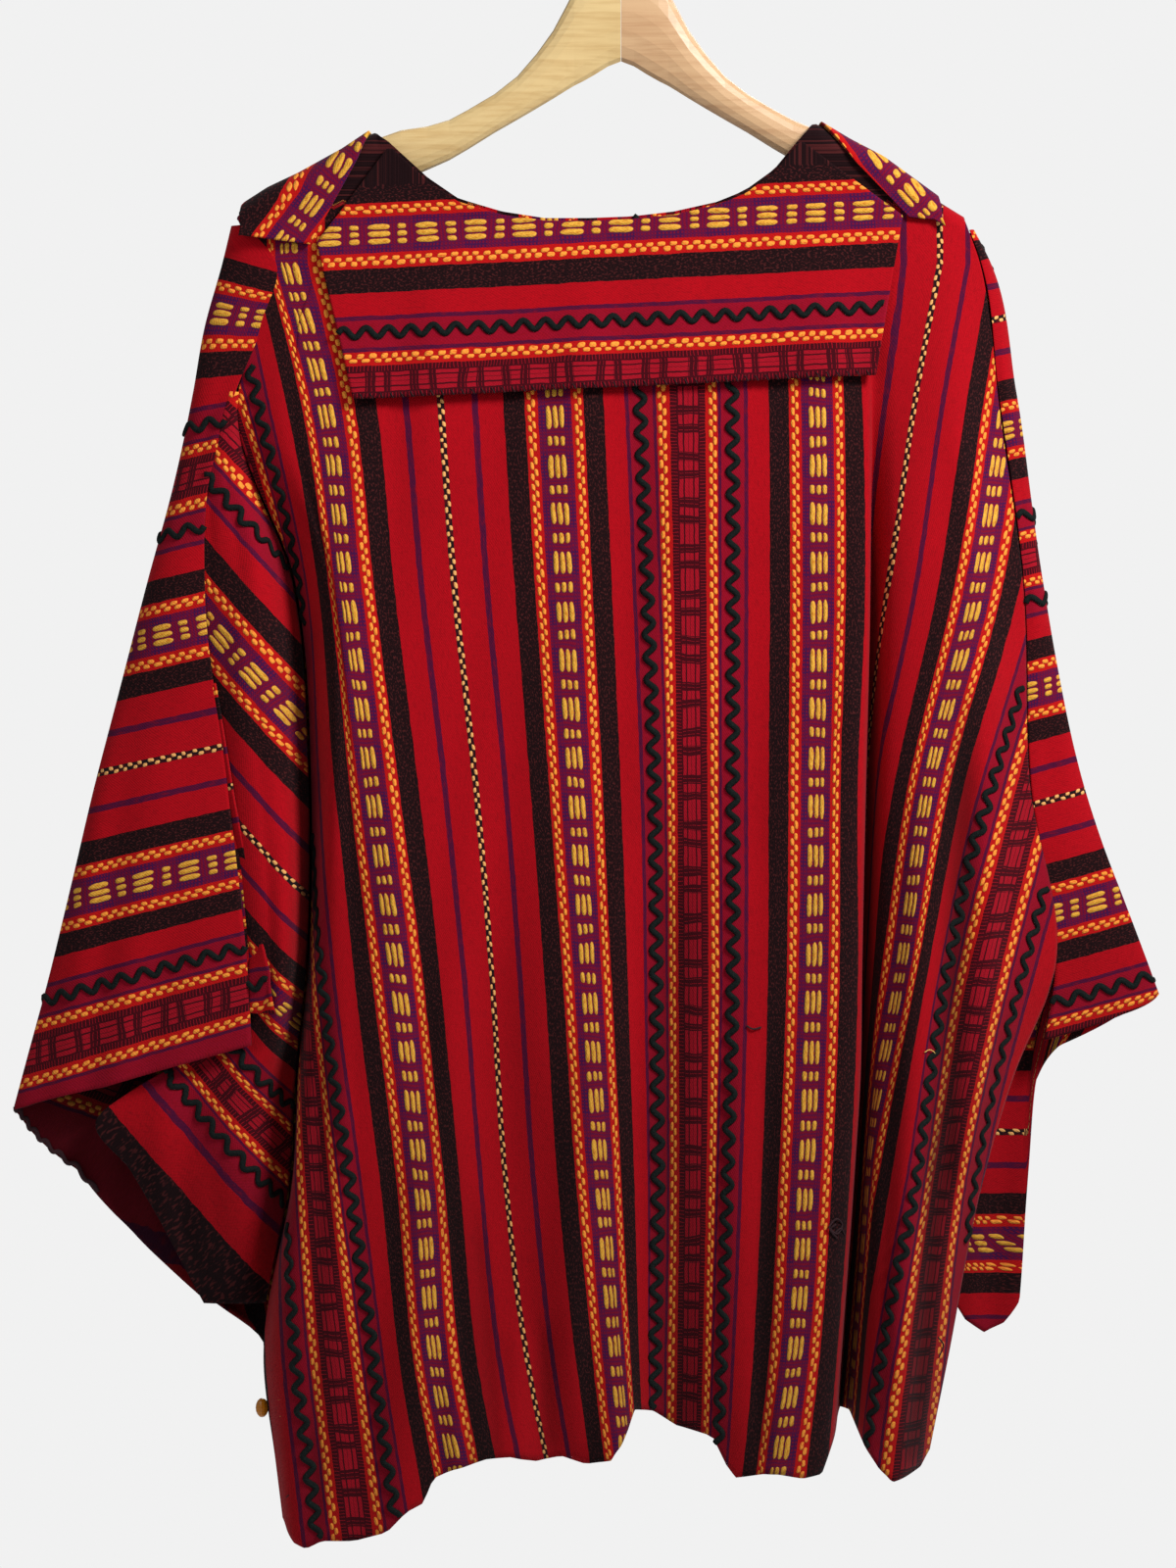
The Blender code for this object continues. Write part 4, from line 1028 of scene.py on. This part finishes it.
def wool(reverse):
    """Woven stripes, from the place in the weave that is stored on the cloth. The inner side is drawn in painted
    shade.
    """
    name = "wool reverse painted shade" if reverse else "striped wool"
    found = bpy.data.materials.get(name)
    if found:
        return found
    made, tree, shader = new_material(name)
    place = tree.nodes.new("ShaderNodeAttribute")
    place.attribute_name = "weave"
    split = tree.nodes.new("ShaderNodeSeparateXYZ")
    tree.links.new(place.outputs["Vector"], split.inputs[0])
    # the third value is the painted shade that is stored on the cloth
    across, along, kept = (Term(tree, split.outputs[index]) for index in range(3))
    weave_vector = stretched(tree, across, along)

    # threads wander a little
    wander = noise(tree, weave_vector, 0.12) - 0.5
    across = across + wander * 1.2
    along = along + (noise(tree, weave_vector, 0.05) - 0.5) * 6.0

    turn = across % REPEAT
    zigzag = turn < ZIGZAG_SECTION
    from_brick = HALF - abs(turn - HALF)
    from_dots = DOT_LINE - abs(turn - (ZIGZAG_SECTION + DOT_LINE))
    distance = pick(zigzag, from_brick, from_dots)
    right_side = turn > ZIGZAG_SECTION + DOT_LINE
    sections = striped(tree, from_dots, DOTTED_HALF), striped(tree, from_brick, ZIGZAG_HALF)
    colour = painted(tree, *sections, zigzag)

    # dark stripes are flecked, red ones heathered
    fleck = fading(noise(tree, stretched(tree, across * 1.1, along * 0.55), 1.0, 1.0), 0.52, 0.66)
    in_dark = (distance > DARK_STRIPE[0]) * (distance < DARK_STRIPE[1])
    colour = painted(tree, colour, YARN["fleck"], in_dark * fleck * 0.55)
    heather = fading(noise(tree, stretched(tree, across * 0.9, along * 0.16), 1.0), 0.45, 0.75)
    in_red = (distance > DARK_STRIPE[1]) * (distance < DOT_LINE)
    colour = painted(tree, colour, YARN["red deep"], in_red * heather * 0.45)

    # the band of floats: long blocks and short ones by turns, three threads to each, and checks beside them
    half_beat = FLOAT_BEAT / 2
    beat = abs((along + half_beat) % FLOAT_BEAT - half_beat)
    row = calc("MINIMUM", distance, abs(distance - 4.1))
    long_float = blob(row, beat, 1.72, 7.2)
    short_float = blob(row, half_beat - beat, 1.6, 3.2)
    in_band = distance < 6.2
    floats = calc("MAXIMUM", long_float, short_float) * in_band
    beside = (distance > 5.8) * (distance < 10.2)
    check = calc("MAXIMUM", (along % 2.2) < 1.2, (distance % 2.2) > 1.2)
    colour = painted(tree, colour, YARN["violet"], check * beside * (0.55 + (beat < 8.0) * 0.35))
    colour = painted(tree, colour, YARN["violet"], ((along % 2.2) < 1.0) * (distance < 5.8) * 0.5)
    thread = noise(tree, stretched(tree, across * 1.6, along * 0.25), 1.0)
    yellow = painted(tree, YARN["yellow"], linear(196, 118, 30), fading(thread, 0.45, 0.7))
    colour = painted(tree, colour, yellow, fading(floats, 0.04, 0.3))

    # chains: two rows of dashes by turns
    far = distance > HALF / 2
    in_row = distance - pick(far, FAR_CHAIN, NEAR_CHAIN)
    half_link = LINK / 2
    shift = right_side * half_link
    lean = in_row * 0.2
    first_phase = abs((along + shift + lean) % LINK - half_link)
    second_phase = abs((along + shift + lean + half_link) % LINK - half_link)
    first_row = blob(in_row - 1.3, first_phase, 1.3, 2.35)
    second_row = blob(in_row - 3.7, second_phase, 1.3, 2.35)
    chains = calc("MAXIMUM", first_row, second_row) * (in_row > 0.0) * (in_row < 5.1)
    chains = chains * (1 - (1 - zigzag) * far)
    orange = painted(tree, YARN["orange"], linear(214, 84, 30), fading(thread, 0.5, 0.75))
    colour = painted(tree, colour, orange, fading(chains, 0.05, 0.35))

    # the dotted line: a black thread with a pale dot on each side by turns
    dots = blob(distance - 68.0, first_phase, 1.15, 1.6) * (1 - zigzag) * (distance > 66.3)
    colour = painted(tree, colour, YARN["dot"], fading(dots, 0.05, 0.4))

    # the brick band: red blocks, long and short by turns, in dark checks, between ticked dark columns
    from_side = distance - BRICK_START
    in_brick = zigzag * (from_side > 0.0)
    at_side = from_side < 3.6
    block = along % BRICK_BEAT
    in_block = calc("MAXIMUM", block < 12.2, abs(block - 20.6) < 2.6)
    lines = (from_side - 3.6) % 3.2 < 0.85
    checks = calc("MAXIMUM", (along % 2.4) > 0.35, lines)
    inner = pick(in_block, lines, checks)
    ladder = pick(at_side, (along % 2.1) > 0.4, inner) * in_brick
    colour = painted(tree, colour, YARN["brick"], ladder * 0.9)

    # light and worn places, and the twill's own shading; then painted shade: darker low down, in deep creases and
    # on the inner side
    patches = 0.86 + noise(tree, weave_vector, 0.011, 3.0) * 0.28
    grain = 0.8 + noise(tree, stretched(tree, across * 0.9, along * 0.7), 1.0, 1.0) * 0.4
    shade = tree.nodes.new("ShaderNodeMix")
    shade.data_type = "RGBA"
    shade.blend_type = "MULTIPLY"
    shade.inputs["Factor"].default_value = 1.0
    tree.links.new(colour, shade.inputs[6])
    grey = tree.nodes.new("ShaderNodeCombineColor")
    for socket in grey.inputs[:3]:
        feed(tree, patches * grain * kept * (REVERSE_SHADE if reverse else 1.0), socket)
    tree.links.new(grey.outputs[0], shade.inputs[7])

    twill = calc("SINE", (across + along) * 3.6) * 0.5 + calc("SINE", (across - along * 0.6) * 4.4) * 0.35
    height = floats * 0.9 + chains * 0.75 + dots * 0.6 + ladder * 0.25 + twill * 0.09 + grain * 0.35
    bumped(tree, shader, height, MM)
    tree.links.new(shade.outputs[2], shader.inputs["Base Color"])
    shader.inputs["Roughness"].default_value = 0.92
    shader.inputs["Specular IOR Level"].default_value = 0.12
    shader.inputs["Sheen Weight"].default_value = 0.03
    shader.inputs["Sheen Roughness"].default_value = 0.5
    return made


def new_material(name):
    """A material, its nodes and its shader."""
    made = bpy.data.materials.new(name)
    made.use_nodes = True
    return made, made.node_tree, made.node_tree.nodes["Principled BSDF"]


def bumped(tree, shader, height, distance):
    bump = tree.nodes.new("ShaderNodeBump")
    bump.inputs["Distance"].default_value = distance
    feed(tree, height, bump.inputs["Height"])
    tree.links.new(bump.outputs[0], shader.inputs["Normal"])


def object_noise(tree, scale, stretch=(1, 1, 1), detail=3.0):
    place = tree.nodes.new("ShaderNodeTexCoord")
    scaled = tree.nodes.new("ShaderNodeMapping")
    scaled.inputs["Scale"].default_value = stretch
    tree.links.new(place.outputs["Object"], scaled.inputs["Vector"])
    return noise(tree, scaled.outputs[0], scale, detail)


def cord_material():
    made, tree, shader = new_material("zigzag cord")
    grain = object_noise(tree, 900)
    colour = painted(tree, YARN["cord"], linear(14, 28, 24), fading(grain, 0.45, 0.75))
    tree.links.new(colour, shader.inputs["Base Color"])
    bumped(tree, shader, grain, 0.6 * MM)
    shader.inputs["Roughness"].default_value = 0.85
    shader.inputs["Specular IOR Level"].default_value = 0.2
    return made


def wood(name, pale, dark, slope):
    """Planed wood with a fine grain along the arm."""
    made, tree, shader = new_material(name)
    place = tree.nodes.new("ShaderNodeTexCoord")
    turned = tree.nodes.new("ShaderNodeMapping")
    turned.inputs["Rotation"].default_value = (0, slope, 0)
    turned.inputs["Scale"].default_value = (0.05, 0.6, 1.0)
    tree.links.new(place.outputs["Object"], turned.inputs["Vector"])
    grain = noise(tree, turned.outputs[0], 420, 4.0)
    broad = noise(tree, turned.outputs[0], 90, 2.0)
    streaks = fading(grain, 0.42, 0.72) * 0.5 + fading(broad, 0.45, 0.8) * 0.35
    colour = painted(tree, pale, dark, streaks)
    tree.links.new(colour, shader.inputs["Base Color"])
    bumped(tree, shader, grain, 0.15 * MM)
    shader.inputs["Roughness"].default_value = 0.42
    shader.inputs["Coat Weight"].default_value = 0.15
    shader.inputs["Coat Roughness"].default_value = 0.3
    return made


def plain(name, colour, roughness, metallic=0.0, grain=0.15):
    made, tree, shader = new_material(name)
    spots = object_noise(tree, 400)
    darker = tuple(value * 0.7 for value in colour[:3]) + (1.0,)
    tree.links.new(painted(tree, colour, darker, spots * grain), shader.inputs["Base Color"])
    feed(tree, roughness + spots * 0.1, shader.inputs["Roughness"])
    shader.inputs["Metallic"].default_value = metallic
    return made


def give(node, material):
    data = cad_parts[node].data
    data.materials.clear()
    data.materials.append(material)


# Everything together.

WALLS = {"sleeve_left_tuck": 1.6}  # thinner than the wool's usual wall
# Panels whose grids of points face inwards.
SIDES = {"front": -1, "sleeve_left": -1, "collar_right": -1}


def dress():
    made = {
        "back": fine_back(), "back_wing_left": fine_wing(), "front": fine_front(),
        "sleeve_left": fine_left_sleeve(),
        "sleeve_left_tuck": fine_tuck(), "sleeve_right": fine_right_sleeve(), "collar_flap": fine_flap(),
        "collar_left": fine_band("collar_left"), "collar_right": fine_band("collar_right"),
    }
    for node, panel in made.items():
        piece = shell(node + "_cloth", panel, SIDES.get(node, 1), WALLS.get(node, WALL))
        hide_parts(node)
        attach(piece, "root")
    return made


def light(name, place, look_at, size, power, colour=(1, 1, 1)):
    lamp = bpy.data.lights.new(name, "AREA")
    lamp.size = size
    lamp.energy = power
    lamp.color = colour
    holder = bpy.data.objects.new(name, lamp)
    bpy.context.scene.collection.objects.link(holder)
    holder.location = place
    aim(holder, look_at)


def aim(thing, look_at):
    way = Vector(look_at) - Vector(thing.location)
    thing.rotation_euler = way.to_track_quat("-Z", "Y").to_euler()


def set_scene():
    scene = bpy.context.scene
    world = bpy.data.worlds.new("pale room")
    world.use_nodes = True
    tree = world.node_tree
    room = tree.nodes["Background"]
    room.inputs["Color"].default_value = (0.95, 0.95, 1.0, 1)
    room.inputs["Strength"].default_value = 0.27
    wall = tree.nodes.new("ShaderNodeBackground")
    wall.inputs["Color"].default_value = linear(241, 241, 241)
    seen = tree.nodes.new("ShaderNodeLightPath")
    either = tree.nodes.new("ShaderNodeMixShader")
    tree.links.new(seen.outputs["Is Camera Ray"], either.inputs[0])
    tree.links.new(room.outputs[0], either.inputs[1])
    tree.links.new(wall.outputs[0], either.inputs[2])
    tree.links.new(either.outputs[0], tree.nodes["World Output"].inputs["Surface"])
    scene.view_settings.view_transform = "Standard"
    scene.world = world
    floor_mesh = bpy.data.meshes.new("floor")
    reach, level = 3.0, -1.9
    corners = [(-reach, -reach, level), (reach, -reach, level), (reach, reach, level), (-reach, reach, level)]
    floor_mesh.from_pydata(corners, [], [(0, 1, 2, 3)])
    floor = bpy.data.objects.new("floor", floor_mesh)
    floor_mesh.materials.append(plain("pale floor", linear(236, 236, 236), 0.8, grain=0.05))
    scene.collection.objects.link(floor)
    light("window", (1.25, -1.25, 0.8), (0, 0, -0.4), 0.6, 52)
    light("room", (-1.6, -2.4, 0.4), (0, 0, -0.4), 1.8, 9)
    light("behind", (0.6, 2.4, 0.6), (0, 0, -0.6), 2.0, 40)
    eye = bpy.data.cameras.new("camera")
    eye.lens = 112.5
    eye.sensor_width = 36
    camera = bpy.data.objects.new("camera", eye)
    scene.collection.objects.link(camera)
    camera.location = (-0.0204, -3.025, -0.582)
    camera.rotation_euler = (math.radians(90), 0, 0)
    scene.camera = camera


def main():
    made = dress()
    sew_cords("zigzag_cords", [(made[node], SIDES.get(node, 1)) for node in made])
    sew_details()
    give("hanger_arm_left", wood("pale wood", linear(222, 192, 134), linear(196, 158, 98), 0.47))
    give("hanger_arm_right", wood("pink wood", linear(212, 172, 128), linear(184, 136, 94), -0.42))
    give("hanger_hook", plain("plated wire", linear(200, 200, 204), 0.22, 1.0))
    give("side_bead", plain("amber bead", linear(190, 118, 20), 0.12))
    set_scene()


main()
